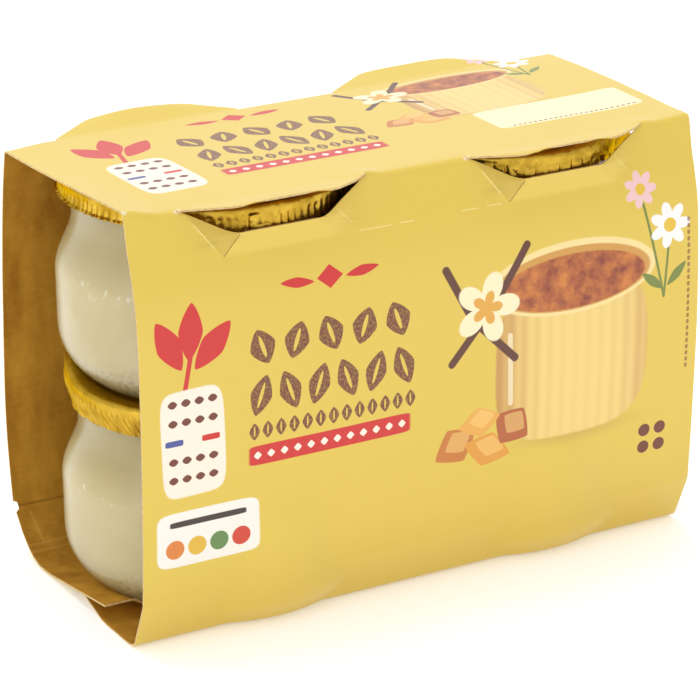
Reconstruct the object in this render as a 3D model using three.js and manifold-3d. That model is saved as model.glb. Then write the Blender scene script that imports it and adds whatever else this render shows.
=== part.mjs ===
// Dessert jar multipack: four filled glass jars with gold foil lids, two above two, held by one
// wrap-around carton sleeve with open ends. Millimetres, +Z up, front towards -Y, length along X.
// The origin is the middle of the footprint, on the surface that the pack stands on.

import * as THREE from 'three';
import { mergeVertices } from 'three/addons/utils/BufferGeometryUtils.js';
import Module from 'manifold-3d';

// Driving dimensions
const PACK_LENGTH = 156;
const PACK_HEIGHT = 109.6;
const BOARD = 0.5;
const GAP = 0.3;
const COLUMN_X = 39;
const LOWER_JARS_X = [-39.6, 39];
const JAR_STAND = 1.3;
const TIER_STEP = 53.65;

// Glass jar, heights from its own base
const BODY_RADIUS = 38.2;
const FOOT_CORNER = 15;
const SHOULDER_START = 28.5;
const SHOULDER_END = 40;
const NECK_RADIUS = 34;
const RIM_RADIUS = 35.7;
const RIM_UNDERSIDE = 47.2;
const GLASS_TOP = 53.1;
const RIM_SLOPE = 1.8;
const RIM_ROUND = { width: 0.9, drop: 1.2 };
const MOUTH_ROUND = { width: 1.2, drop: 1.4 };
const WALL = 3;
const NECK_WALL = 2.6;
const FLOOR = 4.5;
const INNER_CORNER = 8;
const FOOT_HOLLOW = 0.8;
const FOOT_RING = 2.7;
const CUSTARD_LEVEL = 29.5;
const CUSTARD_EDGE = { width: 1.4, drop: 1 };
const GLASS_SIDES = 26;

// Foil lid, heights from the jar's base
const LID_TOP = 53.85;
const FOIL = 0.45;
const LID_RADIUS = 36.65;
const LID_DISH_RADIUS = 30.4;
const LID_DISH_DEPTH = 0.5;
const LID_DISH_SLOPE = 1.7;
const LID_EDGE = { width: 0.9, drop: 1.2 };
const PLEAT_DEPTH = 0.2;
const LID_SIDES = 40;

// Sleeve section, half-depths and heights of its creases
const BOTTOM_FOLD = { halfDepth: 30.6, z: 1 };
const LOWER_CREASE_Z = 13.3;
const UPPER_CREASE = { halfDepth: 37, z: 97.6 };
const TOP_FOLD_HALF_DEPTH = 33.5;
const FRONT_WALL = [[36.9, 13.3], [38.5, 35], [39.7, 60], [39.2, 86], [37, 97.6]];
const REAR_WALL = [[40.2, 13.3], [41, 30], [41.1, 45], [40.5, 62], [39.2, 86], [37, 97.6]];
const WALL_ROWS = [22, 30, 45, 60, 78, 88];
const CHAMFER_ROWS = [4, 8];
const BOTTOM_FLAT = 27;
const HEEL_RADIUS = 32.9;
const PRESSED_CORNER = 10;
const PRESS_CLEARANCE = 0.45;
const PRESS_SPAN = 18;
const PRESS_STEP = 6;
const OUTER_FLAP_EDGE = 24;
const INNER_FLAP_EDGE = -14.6;
const FLAP_LIFT = 3.8;
const FLAP_LIFT_START = 66;
const FLAP_SLOT = 0.06;
const FLAP_SLOT_DEPTH = [0.4, 28];
const FLAP_CREASE = 1;
const BOTTOM_BOW = { rise: 0.05, run: 7 };
const END_NOTCH = 2.3;

// Lid windows cut from the upper chamfers, and the tabs that come out of them
const WINDOW_HALF_WIDTH = 25;
const WINDOW_FAR_HALF_WIDTH = 12.5;
const WINDOW_DEPTH = 7;
const WINDOW_CORNER = 3;
const TAB_DEPTH = 7.75;
const TAB_TILT = THREE.MathUtils.degToRad(11);
const TAB_ROOT = 0.5;

// Solids that cut the board reach past it on both sides
const WINDOW_CUTTER = 4;
const NOTCH_CUTTER = 10;
const MERGE_DISTANCE = 1e-4;
const HEIGHT_TOLERANCE = 1e-5;

const wasm = await Module();
wasm.setup();

const smooth = (t) => THREE.MathUtils.smoothstep(t, 0, 1);

const bow = (points) => new THREE.SplineCurve(points.map(([y, z]) => new THREE.Vector2(y, z)));
const walls = { front: bow(FRONT_WALL), rear: bow(REAR_WALL) };

/** Half-depth of one wall's outer face at height z, away from the jars. The rear wall sags outwards. */
function wallHalfDepth(z, wall) {
  if (z <= LOWER_CREASE_Z) {
    const t = (z - BOTTOM_FOLD.z) / (LOWER_CREASE_Z - BOTTOM_FOLD.z);
    return THREE.MathUtils.lerp(BOTTOM_FOLD.halfDepth, wall.points[0].x, t);
  }
  if (z >= UPPER_CREASE.z) {
    const t = (z - UPPER_CREASE.z) / (PACK_HEIGHT - UPPER_CREASE.z);
    return THREE.MathUtils.lerp(UPPER_CREASE.halfDepth, TOP_FOLD_HALF_DEPTH, t);
  }
  let [low, high] = [0, 1];
  while (high - low > HEIGHT_TOLERANCE) {
    const middle = (low + high) / 2;
    if (wall.getPoint(middle).y < z) low = middle;
    else high = middle;
  }
  return wall.getPoint(low).x;
}

/** Radius to which a jar presses the board out at a height above its base, less the clearance. */
function pressedRadius(z) {
  if (z < PRESSED_CORNER) {
    return BODY_RADIUS - PRESSED_CORNER + Math.sqrt(PRESSED_CORNER ** 2 - (PRESSED_CORNER - z) ** 2);
  }
  const shoulder = smooth((z - SHOULDER_START) / (SHOULDER_END - SHOULDER_START));
  return THREE.MathUtils.lerp(BODY_RADIUS, NECK_RADIUS, shoulder);
}

/** Half-depth at a station of a round of the given radius about the nearer lower jar, or 0 past it. */
function pressedHalfDepth(x, radius) {
  const offset = Math.min(...LOWER_JARS_X.map((jarX) => Math.abs(x - jarX)));
  return radius > offset ? Math.sqrt(radius ** 2 - offset ** 2) : 0;
}

/**
 * One wall of the sleeve from the bottom fold to the top fold, as [half-depth, z] points. The lower
 * jars press it out to their own round, and their heels press out the bottom fold.
 */
function wallRows(x, inside, wall) {
  const shift = inside ? BOARD : 0;
  const rise = [BOTTOM_FOLD.z, ...CHAMFER_ROWS, LOWER_CREASE_Z, ...WALL_ROWS];
  const rows = rise.map((height, index) => {
    const z = index === 0 ? height + shift : height;
    const jarReach = index === 0 ? HEEL_RADIUS : pressedRadius(z - JAR_STAND) + PRESS_CLEARANCE;
    const plain = wallHalfDepth(height, wall) - shift;
    return [Math.max(plain, pressedHalfDepth(x, jarReach + BOARD - shift)), z];
  });
  rows.push([UPPER_CREASE.halfDepth - shift, UPPER_CREASE.z]);
  rows.push([TOP_FOLD_HALF_DEPTH - shift, PACK_HEIGHT - shift]);
  return rows;
}

/** How far the free edge of the inner bottom flap stands up at a station near an open end. */
function flapLift(x) {
  const run = PACK_LENGTH / 2 - FLAP_LIFT_START;
  return FLAP_LIFT * smooth((Math.abs(x) - FLAP_LIFT_START) / run);
}

/**
 * Outer loop of the section at a station, counter-clockwise in (y, z). The outer bottom flap bears on
 * its crease and its free edge, a hair proud of the flat between them.
 */
function outerLoop(x) {
  const rear = wallRows(x, false, walls.rear);
  const front = wallRows(x, false, walls.front).map(([y, z]) => [-y, z]).reverse();
  const bottom = [
    [-BOTTOM_FLAT, 0],
    [-BOTTOM_FLAT + BOTTOM_BOW.run, BOTTOM_BOW.rise],
    [OUTER_FLAP_EDGE - BOTTOM_BOW.run, BOTTOM_BOW.rise],
    [OUTER_FLAP_EDGE, 0],
    [OUTER_FLAP_EDGE, BOARD],
    [BOTTOM_FLAT, BOARD],
  ];
  return [...front, ...bottom, ...rear];
}

/** Inner loop of the section, with the slot below the inner bottom flap's free edge. */
function innerLoop(x) {
  const rear = wallRows(x, true, walls.rear);
  const front = wallRows(x, true, walls.front).map(([y, z]) => [-y, z]).reverse();
  const lift = flapLift(x);
  const slot = THREE.MathUtils.lerp(...FLAP_SLOT_DEPTH, lift / FLAP_LIFT);
  const bottom = [
    [-BOTTOM_FLAT, BOARD],
    [INNER_FLAP_EDGE + slot, BOARD],
    [INNER_FLAP_EDGE, BOARD + FLAP_SLOT + lift],
    [INNER_FLAP_EDGE, 2 * BOARD + lift],
    [INNER_FLAP_EDGE + slot + FLAP_CREASE, 2 * BOARD],
    [BOTTOM_FLAT, 2 * BOARD],
  ];
  return [...front, ...bottom, ...rear];
}

/** Stations along the sleeve: close together where a jar presses the walls out. */
function sleeveStations() {
  const half = [0];
  for (let offset = -PRESS_SPAN; offset <= PRESS_SPAN; offset += PRESS_STEP) {
    half.push(COLUMN_X + offset);
  }
  half.push(FLAP_LIFT_START, (FLAP_LIFT_START + PACK_LENGTH / 2) / 2, PACK_LENGTH / 2);
  return [...half.slice(1).reverse().map((x) => -x), ...half];
}

/** Closed tube lofted through the outer and inner loops of every station. */
function loftedTube(stations) {
  const loops = stations.map((x) => [outerLoop(x), innerLoop(x)]);
  const [outerCount, innerCount] = loops[0].map((loop) => loop.length);
  const stride = outerCount + innerCount;
  const positions = loops.flatMap(([outer, inner], i) =>
    [...outer, ...inner].flatMap(([y, z]) => [stations[i], y, z]));
  const index = [];
  for (let i = 0; i < stations.length - 1; i += 1) {
    const base = i * stride;
    for (let j = 0; j < stride; j += 1) {
      const inner = j >= outerCount;
      const wrap = inner ? stride - 1 : outerCount - 1;
      const next = j === wrap ? (inner ? outerCount : 0) : j + 1;
      const quad = [base + j, base + next, base + stride + next, base + stride + j];
      if (inner) quad.reverse();
      index.push(quad[0], quad[1], quad[2], quad[0], quad[2], quad[3]);
    }
  }
  [0, stations.length - 1].forEach((end) => {
    const [outer, inner] = loops[end].map((loop) => loop.map(([y, z]) => new THREE.Vector2(y, z)));
    const base = end * stride;
    THREE.ShapeUtils.triangulateShape(outer, [inner]).forEach(([a, b, c]) => {
      if (end === 0) index.push(base + a, base + c, base + b);
      else index.push(base + a, base + b, base + c);
    });
  });
  const geometry = new THREE.BufferGeometry();
  geometry.setAttribute('position', new THREE.Float32BufferAttribute(positions, 3));
  geometry.setIndex(index);
  return geometry;
}

/** Manifold solid of a closed geometry. */
function toSolid(geometry) {
  geometry.deleteAttribute('normal');
  geometry.deleteAttribute('uv');
  const merged = mergeVertices(geometry, MERGE_DISTANCE);
  return new wasm.Manifold(new wasm.Mesh({
    numProp: 3,
    vertProperties: new Float32Array(merged.attributes.position.array),
    triVerts: new Uint32Array(merged.index.array),
  }));
}

/** three.js geometry of a manifold solid. */
function toGeometry(solid) {
  const mesh = solid.getMesh();
  const geometry = new THREE.BufferGeometry();
  geometry.setAttribute('position', new THREE.BufferAttribute(mesh.vertProperties, 3));
  geometry.setIndex(new THREE.BufferAttribute(mesh.triVerts, 1));
  return geometry;
}

/** Outline of a lid window or tab: a trapezoid from the fold, with rounded far corners. */
function windowOutline(root, depth) {
  const lean = (WINDOW_HALF_WIDTH - WINDOW_FAR_HALF_WIDTH) / depth;
  const back = WINDOW_CORNER / Math.hypot(1, lean);
  const outline = new THREE.Shape();
  outline.moveTo(-WINDOW_HALF_WIDTH, -root);
  outline.lineTo(WINDOW_HALF_WIDTH, -root);
  outline.lineTo(WINDOW_HALF_WIDTH, 0);
  outline.lineTo(WINDOW_FAR_HALF_WIDTH + back * lean, depth - back);
  outline.quadraticCurveTo(WINDOW_FAR_HALF_WIDTH, depth, WINDOW_FAR_HALF_WIDTH - WINDOW_CORNER, depth);
  outline.lineTo(-WINDOW_FAR_HALF_WIDTH + WINDOW_CORNER, depth);
  outline.quadraticCurveTo(-WINDOW_FAR_HALF_WIDTH, depth, -WINDOW_FAR_HALF_WIDTH - back * lean, depth - back);
  outline.lineTo(-WINDOW_HALF_WIDTH, 0);
  return outline;
}

/** Plate of one outline, laid from the top fold of one side along a slope in the section. */
function foldPlate(outline, column, side, slope, thickness, sink) {
  const geometry = new THREE.ExtrudeGeometry(outline, {
    depth: thickness, bevelEnabled: false, curveSegments: 3,
  });
  geometry.translate(0, 0, -sink);
  const along = new THREE.Vector3(-side, 0, 0);
  const down = new THREE.Vector3(0, side * Math.cos(slope), Math.sin(slope));
  const through = along.clone().cross(down);
  const place = new THREE.Matrix4().makeBasis(along, down, through);
  place.setPosition(column, side * TOP_FOLD_HALF_DEPTH, PACK_HEIGHT);
  return toSolid(geometry.applyMatrix4(place));
}

/** Carton sleeve: printed board wrapped round the jars, its bottom flaps glued one over the other. */
function makeSleeve() {
  let solid = toSolid(loftedTube(sleeveStations()));
  const chamferRun = UPPER_CREASE.halfDepth - TOP_FOLD_HALF_DEPTH;
  const chamferSlope = -Math.atan2(PACK_HEIGHT - UPPER_CREASE.z, chamferRun);
  [-COLUMN_X, COLUMN_X].forEach((column) => {
    [-1, 1].forEach((side) => {
      const window = windowOutline(0, WINDOW_DEPTH);
      const tab = windowOutline(TAB_ROOT, TAB_DEPTH);
      const sink = WINDOW_CUTTER / 2;
      solid = solid.subtract(foldPlate(window, column, side, chamferSlope, WINDOW_CUTTER, sink));
      solid = solid.add(foldPlate(tab, column, side, TAB_TILT, BOARD, 0));
    });
  });
  [-1, 1].forEach((end) => {
    const notch = new THREE.BoxGeometry(END_NOTCH, NOTCH_CUTTER, END_NOTCH).rotateY(Math.PI / 4);
    notch.translate((end * PACK_LENGTH) / 2, walls.rear.points[0].x, LOWER_CREASE_Z);
    solid = solid.subtract(toSolid(notch));
  });
  return toGeometry(solid);
}

/** Solid of revolution about +Z from [radius, z] pairs that run outwards below, up and back in. */
function turned(profile, sides) {
  const points = profile.map(([radius, z]) => new THREE.Vector2(radius, z));
  return new THREE.LatheGeometry(points, sides).rotateX(Math.PI / 2);
}

/** Points on the quarter round between a floor and a wall, evenly spaced, both ends included. */
function cornerArc(radius, z, size, steps) {
  return Array.from({ length: steps + 1 }, (_, i) => {
    const angle = (i / steps) * (Math.PI / 2);
    return [radius - size + size * Math.sin(angle), z + size - size * Math.cos(angle)];
  });
}

/** Shoulder between body and neck: a smooth step from one radius to the other. */
function shoulderRun(bodyR, neckR, steps) {
  return Array.from({ length: steps + 1 }, (_, i) => {
    const t = i / steps;
    return [THREE.MathUtils.lerp(bodyR, neckR, smooth(t)),
      THREE.MathUtils.lerp(SHOULDER_START, SHOULDER_END, t)];
  });
}

/** Glass jar: hollow foot, full body, drawn-in neck and a thick rim. */
function makeJar() {
  const inner = BODY_RADIUS - WALL;
  const neckInner = NECK_RADIUS - NECK_WALL;
  return turned([
    [0, FOOT_HOLLOW],
    [BODY_RADIUS - FOOT_CORNER - FOOT_RING, 0],
    ...cornerArc(BODY_RADIUS, 0, FOOT_CORNER, 3),
    ...shoulderRun(BODY_RADIUS, NECK_RADIUS, 4),
    [NECK_RADIUS, RIM_UNDERSIDE],
    [RIM_RADIUS, RIM_UNDERSIDE + RIM_SLOPE],
    [RIM_RADIUS, GLASS_TOP - RIM_ROUND.drop],
    [RIM_RADIUS - RIM_ROUND.width, GLASS_TOP],
    [neckInner + MOUTH_ROUND.width, GLASS_TOP],
    [neckInner, GLASS_TOP - MOUTH_ROUND.drop],
    ...shoulderRun(inner, neckInner, 2).reverse(),
    ...cornerArc(inner, FLOOR, INNER_CORNER, 2).reverse(),
    [0, FLOOR],
  ], GLASS_SIDES);
}

/** Baked custard up to its level in the jar. */
function makeCustard() {
  const radius = BODY_RADIUS - WALL - GAP;
  const floor = FLOOR + GAP;
  return turned([
    [0, floor],
    ...cornerArc(radius, floor, INNER_CORNER, 2),
    [radius, CUSTARD_LEVEL - CUSTARD_EDGE.drop],
    [radius - CUSTARD_EDGE.width, CUSTARD_LEVEL],
    [0, CUSTARD_LEVEL],
  ], GLASS_SIDES);
}

/** Skirt edge height at an angle: longest on one side, where less foil was gathered. */
function edgeHeight(skirt, angle) {
  return skirt.edge - skirt.ragged * Math.cos(angle - skirt.longSide);
}

/** Half-depth that the sleeve leaves for a lid at height z, or no limit inside a lid window. */
function sleeveLimit(skirt, x, z) {
  if (!skirt.underChamfer || Math.abs(x) < WINDOW_FAR_HALF_WIDTH - WINDOW_CORNER) return Infinity;
  return wallHalfDepth(z, walls.rear) - BOARD - GAP;
}

/** Foil lid with a dished top, a rounded edge and a pleated skirt. */
function makeLid(skirt, base) {
  const dish = LID_TOP - LID_DISH_DEPTH;
  const inner = LID_RADIUS - FOIL;
  const rows = [
    { radius: 0, z: dish - FOIL },
    { radius: LID_DISH_RADIUS, z: dish - FOIL },
    { radius: LID_DISH_RADIUS + LID_DISH_SLOPE, z: LID_TOP - FOIL },
    { radius: inner - LID_EDGE.width, z: LID_TOP - FOIL },
    { radius: inner, z: LID_TOP - FOIL - LID_EDGE.drop },
    { radius: inner, z: skirt.waist, pleat: 0.5 },
    { radius: skirt.edgeRadius, z: skirt.edge, pleat: 1, edge: FOIL },
    { radius: skirt.edgeRadius, z: skirt.edge, pleat: 1, edge: 0 },
    { radius: LID_RADIUS, z: skirt.waist, pleat: 0.5 },
    { radius: LID_RADIUS, z: LID_TOP - LID_EDGE.drop },
    { radius: LID_RADIUS - LID_EDGE.width, z: LID_TOP },
    { radius: LID_DISH_RADIUS + LID_DISH_SLOPE, z: LID_TOP },
    { radius: LID_DISH_RADIUS, z: dish },
    { radius: 0, z: dish },
  ];
  const lid = turned(rows.map(({ radius, z }) => [radius, z]), LID_SIDES);
  const place = lid.attributes.position;
  for (let i = 0; i < place.count; i += 1) {
    const row = rows[i % rows.length];
    const turn = Math.floor(i / rows.length) % LID_SIDES;
    if (row.pleat) {
      const angle = Math.atan2(place.getY(i), place.getX(i));
      const pleat = (turn % 2 === 0 ? 1 : -1) * PLEAT_DEPTH * row.pleat;
      const onEdge = row.edge !== undefined;
      const z = onEdge ? edgeHeight(skirt, angle) : row.z;
      const along = (skirt.waist - z) / (skirt.waist - skirt.edge + skirt.ragged);
      const free = onEdge ? THREE.MathUtils.lerp(LID_RADIUS, row.radius, along) - row.edge : row.radius;
      const x = (free + pleat) * Math.cos(angle);
      const limit = sleeveLimit(skirt, x, base + z) - (row.edge || 0);
      const y = THREE.MathUtils.clamp((free + pleat) * Math.sin(angle), -limit, limit);
      place.setXYZ(i, x, y, z);
    }
  }
  return lid;
}

const finishes = {
  board: { color: 0xe8cf62, roughness: 0.45, metalness: 0 },
  glass: { color: 0xe9efe6, roughness: 0.05, metalness: 0, transparent: true, opacity: 0.35 },
  custard: { color: 0xe3d6a6, roughness: 0.5, metalness: 0 },
  foil: { color: 0xd1ab3c, roughness: 0.3, metalness: 1 },
};

const part = new THREE.Group();

/** Adds one named mesh with its own material. */
function addMesh(name, geometry, finish, x = 0, z = 0) {
  const mesh = new THREE.Mesh(geometry, new THREE.MeshStandardMaterial(finishes[finish]));
  mesh.name = name;
  mesh.position.set(x, 0, z);
  part.add(mesh);
}

const gatheredSkirt = { waist: 48.8, edge: 46.4, edgeRadius: 34.95, ragged: 2, underChamfer: false };
const flaredSkirt = { waist: 49.8, edge: 48.4, edgeRadius: 37.3, ragged: 0, underChamfer: true };

const jars = [
  { name: 'lower_left', x: LOWER_JARS_X[0], tier: 0, skirt: gatheredSkirt, longSide: 2.4 },
  { name: 'lower_right', x: LOWER_JARS_X[1], tier: 0, skirt: gatheredSkirt, longSide: 0.7 },
  { name: 'upper_left', x: -COLUMN_X, tier: 1, skirt: flaredSkirt, longSide: 0 },
  { name: 'upper_right', x: COLUMN_X, tier: 1, skirt: flaredSkirt, longSide: 0 },
];

addMesh('sleeve', makeSleeve(), 'board');
jars.forEach(({ name, x, tier, skirt, longSide }) => {
  const base = JAR_STAND + tier * TIER_STEP;
  addMesh(`jar_${name}`, makeJar(), 'glass', x, base);
  addMesh(`custard_${name}`, makeCustard(), 'custard', x, base);
  addMesh(`lid_${name}`, makeLid({ ...skirt, longSide }, base), 'foil', x, base);
});

export default part;
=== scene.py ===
"""Dressed model of a shut dessert multipack: a printed carton sleeve round four foil-lidded glass jars.

The sleeve is one sheet of board wrapped round the jars, open at both ends, with a window and a tab over
the shoulder of each upper lid. Sizes in the classes are millimetres of the real object, in the same
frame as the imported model: +X along the pack, printed front towards -Y, +Z up, standing on z = 0.
"""

import logging
import math
from dataclasses import dataclass, field
from enum import Enum
from typing import Any

import bpy
import numpy as np
from mathutils import Matrix, Vector

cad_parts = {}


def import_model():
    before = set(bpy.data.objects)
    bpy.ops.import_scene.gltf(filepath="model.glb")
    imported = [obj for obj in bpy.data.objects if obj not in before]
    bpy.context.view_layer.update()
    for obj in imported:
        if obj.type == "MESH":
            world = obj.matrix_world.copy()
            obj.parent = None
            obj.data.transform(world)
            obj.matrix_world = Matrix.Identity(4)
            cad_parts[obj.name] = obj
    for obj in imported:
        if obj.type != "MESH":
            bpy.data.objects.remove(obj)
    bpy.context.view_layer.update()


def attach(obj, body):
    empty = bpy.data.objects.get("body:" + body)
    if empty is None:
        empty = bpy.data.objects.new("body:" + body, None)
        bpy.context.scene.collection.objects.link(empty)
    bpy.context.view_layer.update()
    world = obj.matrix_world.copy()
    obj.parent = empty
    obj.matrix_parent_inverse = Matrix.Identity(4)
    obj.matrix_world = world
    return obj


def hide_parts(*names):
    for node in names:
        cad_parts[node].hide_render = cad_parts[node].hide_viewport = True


log = logging.getLogger("multipack")

Array = np.ndarray
Colour = tuple[float, float, float]
Socket = bpy.types.NodeSocket
Material = bpy.types.Material
Group = bpy.types.NodeTree
MM = 0.001
ROOT = "root"
ORIGIN = (0.0, 0.0, 0.0)
FAR = 1000.0
COLUMN_X = 39.0
LOWER_LEFT_X = -39.6
JAR_STAND = 1.3
TIER_STEP = 53.65


# ---------------------------------------------------------------- numbers and surfaces


def smooth(t: Array | float) -> Array | float:
    """Smoothstep: 3t^2 - 2t^3 of t held between 0 and 1."""
    t = np.clip(t, 0.0, 1.0)
    return t * t * (3.0 - 2.0 * t)


def soft_max(a: Array, b: Array, blend: float) -> Array:
    """Larger of two values, rounded where they cross: mean plus half of sqrt(difference^2 + blend^2)."""
    return 0.5 * (a + b) + 0.5 * np.sqrt((a - b) ** 2 + blend**2)


def linear(red: int, green: int, blue: int) -> Colour:
    """Scene-linear colour of an sRGB colour given as three numbers up to 255.

    Args:
        red: red.
        green: green.
        blue: blue.

    Returns:
        The colour.
    """
    share = np.array([red, green, blue]) / 255.0
    low = share / 12.92
    high = ((share + 0.055) / 1.055) ** 2.4
    return tuple(float(v) for v in np.where(share <= 0.04045, low, high))


def grid_quads(ids: Array, wrap: bool = False) -> Array:
    """Quads between the neighbours of a 2-D array of vertex numbers.

    Args:
        ids: vertex numbers, one row of the grid after another.
        wrap: True joins the last column to the first.

    Returns:
        One row of four vertex numbers for each quad, counted along each grid row in turn.
    """
    nxt = np.roll(ids, -1, axis=1) if wrap else ids[:, 1:]
    now = ids if wrap else ids[:, :-1]
    return np.stack([now[:-1], nxt[:-1], nxt[1:], now[1:]], axis=-1).reshape(-1, 4)


@dataclass
class Surface:
    """A mesh as arrays: places in millimetres, quads, and triangles where a pole closes.

    Args:
        places: one row of x, y, z for each vertex.
        quads: vertex numbers of each quad, seen from outside counter-clockwise.
        tris: vertex numbers of each triangle.
        finish: material number of each quad, or None for the first material everywhere.
        print_place: print coordinates of each quad's corners in hundreds of millimetres, or None.
    """

    places: Array
    quads: Array
    tris: Array = field(default_factory=lambda: np.zeros((0, 3), int))
    finish: Array | None = None
    print_place: Array | None = None

    def normals(self) -> Array:
        """Unit normal at each vertex: the sum of the crossed diagonals or sides of the faces round it.

        Returns:
            One row of x, y, z for each vertex.
        """
        total = np.zeros_like(self.places)
        for faces in (self.quads, self.tris):
            corner = self.places[faces]
            last = faces.shape[1] - 1
            side = corner[:, last] - corner[:, 1 if last == 3 else 0]
            face_normal = np.cross(corner[:, last - 1] - corner[:, 0], side)
            for k in range(faces.shape[1]):
                np.add.at(total, faces[:, k], face_normal)
        return total / np.maximum(np.linalg.norm(total, axis=1, keepdims=True), 1e-12)

    def open_edges(self) -> Array:
        """Directed edges that only one face has.

        Returns:
            Rows of two vertex numbers.
        """
        rings = [np.stack([f, np.roll(f, -1, axis=1)], -1).reshape(-1, 2) for f in (self.quads, self.tris)]
        edges = np.concatenate(rings)
        _, first, times = np.unique(np.sort(edges, axis=1), axis=0, return_index=True, return_counts=True)
        return edges[first[times == 1]]

    def thickened(self, wall: float, inside: int = 0, rim: int = 0) -> "Surface":
        """Closed shell: this sheet, its copy moved inwards along the normals, and a rim between them.

        Args:
            wall: thickness in millimetres.
            inside: material number of the inner layer.
            rim: material number of the rim.

        Returns:
            The closed surface.
        """
        count = len(self.places)
        inner = self.places - self.normals() * wall
        edge = self.open_edges()
        band = np.stack([edge[:, 1], edge[:, 0], edge[:, 0] + count, edge[:, 1] + count], axis=1)
        finish = np.zeros(len(self.quads), int) if self.finish is None else self.finish
        finishes = [finish, np.full(len(self.quads), inside), np.full(len(band), rim)]
        printed = self.print_place
        if printed is not None:
            bare = np.full((len(self.quads) + len(band), 4, 2), BARE)
            printed = np.concatenate([printed, bare])
        return Surface(
            places=np.concatenate([self.places, inner]),
            quads=np.concatenate([self.quads, self.quads[:, ::-1] + count, band]),
            tris=np.concatenate([self.tris, self.tris[:, ::-1] + count]),
            finish=np.concatenate(finishes),
            print_place=printed,
        )

    def build(self, name: str, materials: list[Material], sharp: float) -> bpy.types.Object:
        """Makes the mesh object, in metres, smooth shaded but for edges sharper than an angle in degrees.

        Args:
            name: name of the object and its mesh.
            materials: what the finish numbers stand for.
            sharp: the angle.

        Returns:
            The object.
        """
        mesh = bpy.data.meshes.new(name)
        mesh.from_pydata((self.places * MM).tolist(), [], self.quads.tolist() + self.tris.tolist())
        for material in materials:
            mesh.materials.append(material)
        index = np.zeros(len(mesh.polygons), np.int32)
        if self.finish is not None:
            index[: len(self.finish)] = self.finish
        mesh.polygons.foreach_set("material_index", index)
        if self.print_place is not None:
            corners = np.full((len(mesh.loops), 2), BARE, np.float32)
            corners[: 4 * len(self.quads)] = self.print_place.reshape(-1, 2)
            mesh.uv_layers.new(name=PRINT_MAP).data.foreach_set("uv", corners.ravel())
        mesh.polygons.foreach_set("use_smooth", np.ones(len(mesh.polygons), bool))
        mesh.set_sharp_from_angle(angle=math.radians(sharp))
        mesh.validate()
        made = bpy.data.objects.new(name, mesh)
        bpy.context.scene.collection.objects.link(made)
        return made


def turned(radius: Array, height: Array, angle: Array) -> Array:
    """Places of a surface of revolution: (radius cos, radius sin, height) of each row at each angle.

    Args:
        radius: 2-D array, one row for each step along the profile and one column for each angle.
        height: heights in the same layout.
        angle: the angles in radians.

    Returns:
        One row of x, y, z for each vertex, row by row.
    """
    return np.stack([radius * np.cos(angle), radius * np.sin(angle), height], axis=-1).reshape(-1, 3)


def capped_lathe(profile: Array, sides: int) -> Surface:
    """Closed solid of revolution from a profile that starts and ends on the axis.

    The inner rows are a grid of rings. Each end is a fan of triangles about one vertex on the axis.

    Args:
        profile: rows of radius and height, from the lower pole round the outside to the last pole.
        sides: number of columns round the axis.

    Returns:
        The closed solid.
    """
    angle = np.arange(sides) * (2 * math.pi / sides)
    ring = profile[1:-1]
    shape = (len(ring), sides)
    rows = turned(np.broadcast_to(ring[:, :1], shape), np.broadcast_to(ring[:, 1:], shape), angle)
    poles = [[0.0, 0.0, profile[0, 1]], [0.0, 0.0, profile[-1, 1]]]
    ids = np.arange(len(rows)).reshape(shape)
    first, last = len(rows), len(rows) + 1
    start = np.stack([np.full(sides, first), np.roll(ids[0], -1), ids[0]], axis=1)
    end = np.stack([np.full(sides, last), ids[-1], np.roll(ids[-1], -1)], axis=1)
    return Surface(np.concatenate([rows, poles]), grid_quads(ids, wrap=True), np.concatenate([start, end]))


def moved(surface: Surface, x: float, z: float) -> Surface:
    """The surface moved along the pack and up."""
    surface.places = surface.places + np.array([x, 0.0, z])
    return surface


# ---------------------------------------------------------------- shader helpers

BARE = -1.0
PRINT_MAP = "print"
PRINT_UNIT = 100.0


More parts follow.
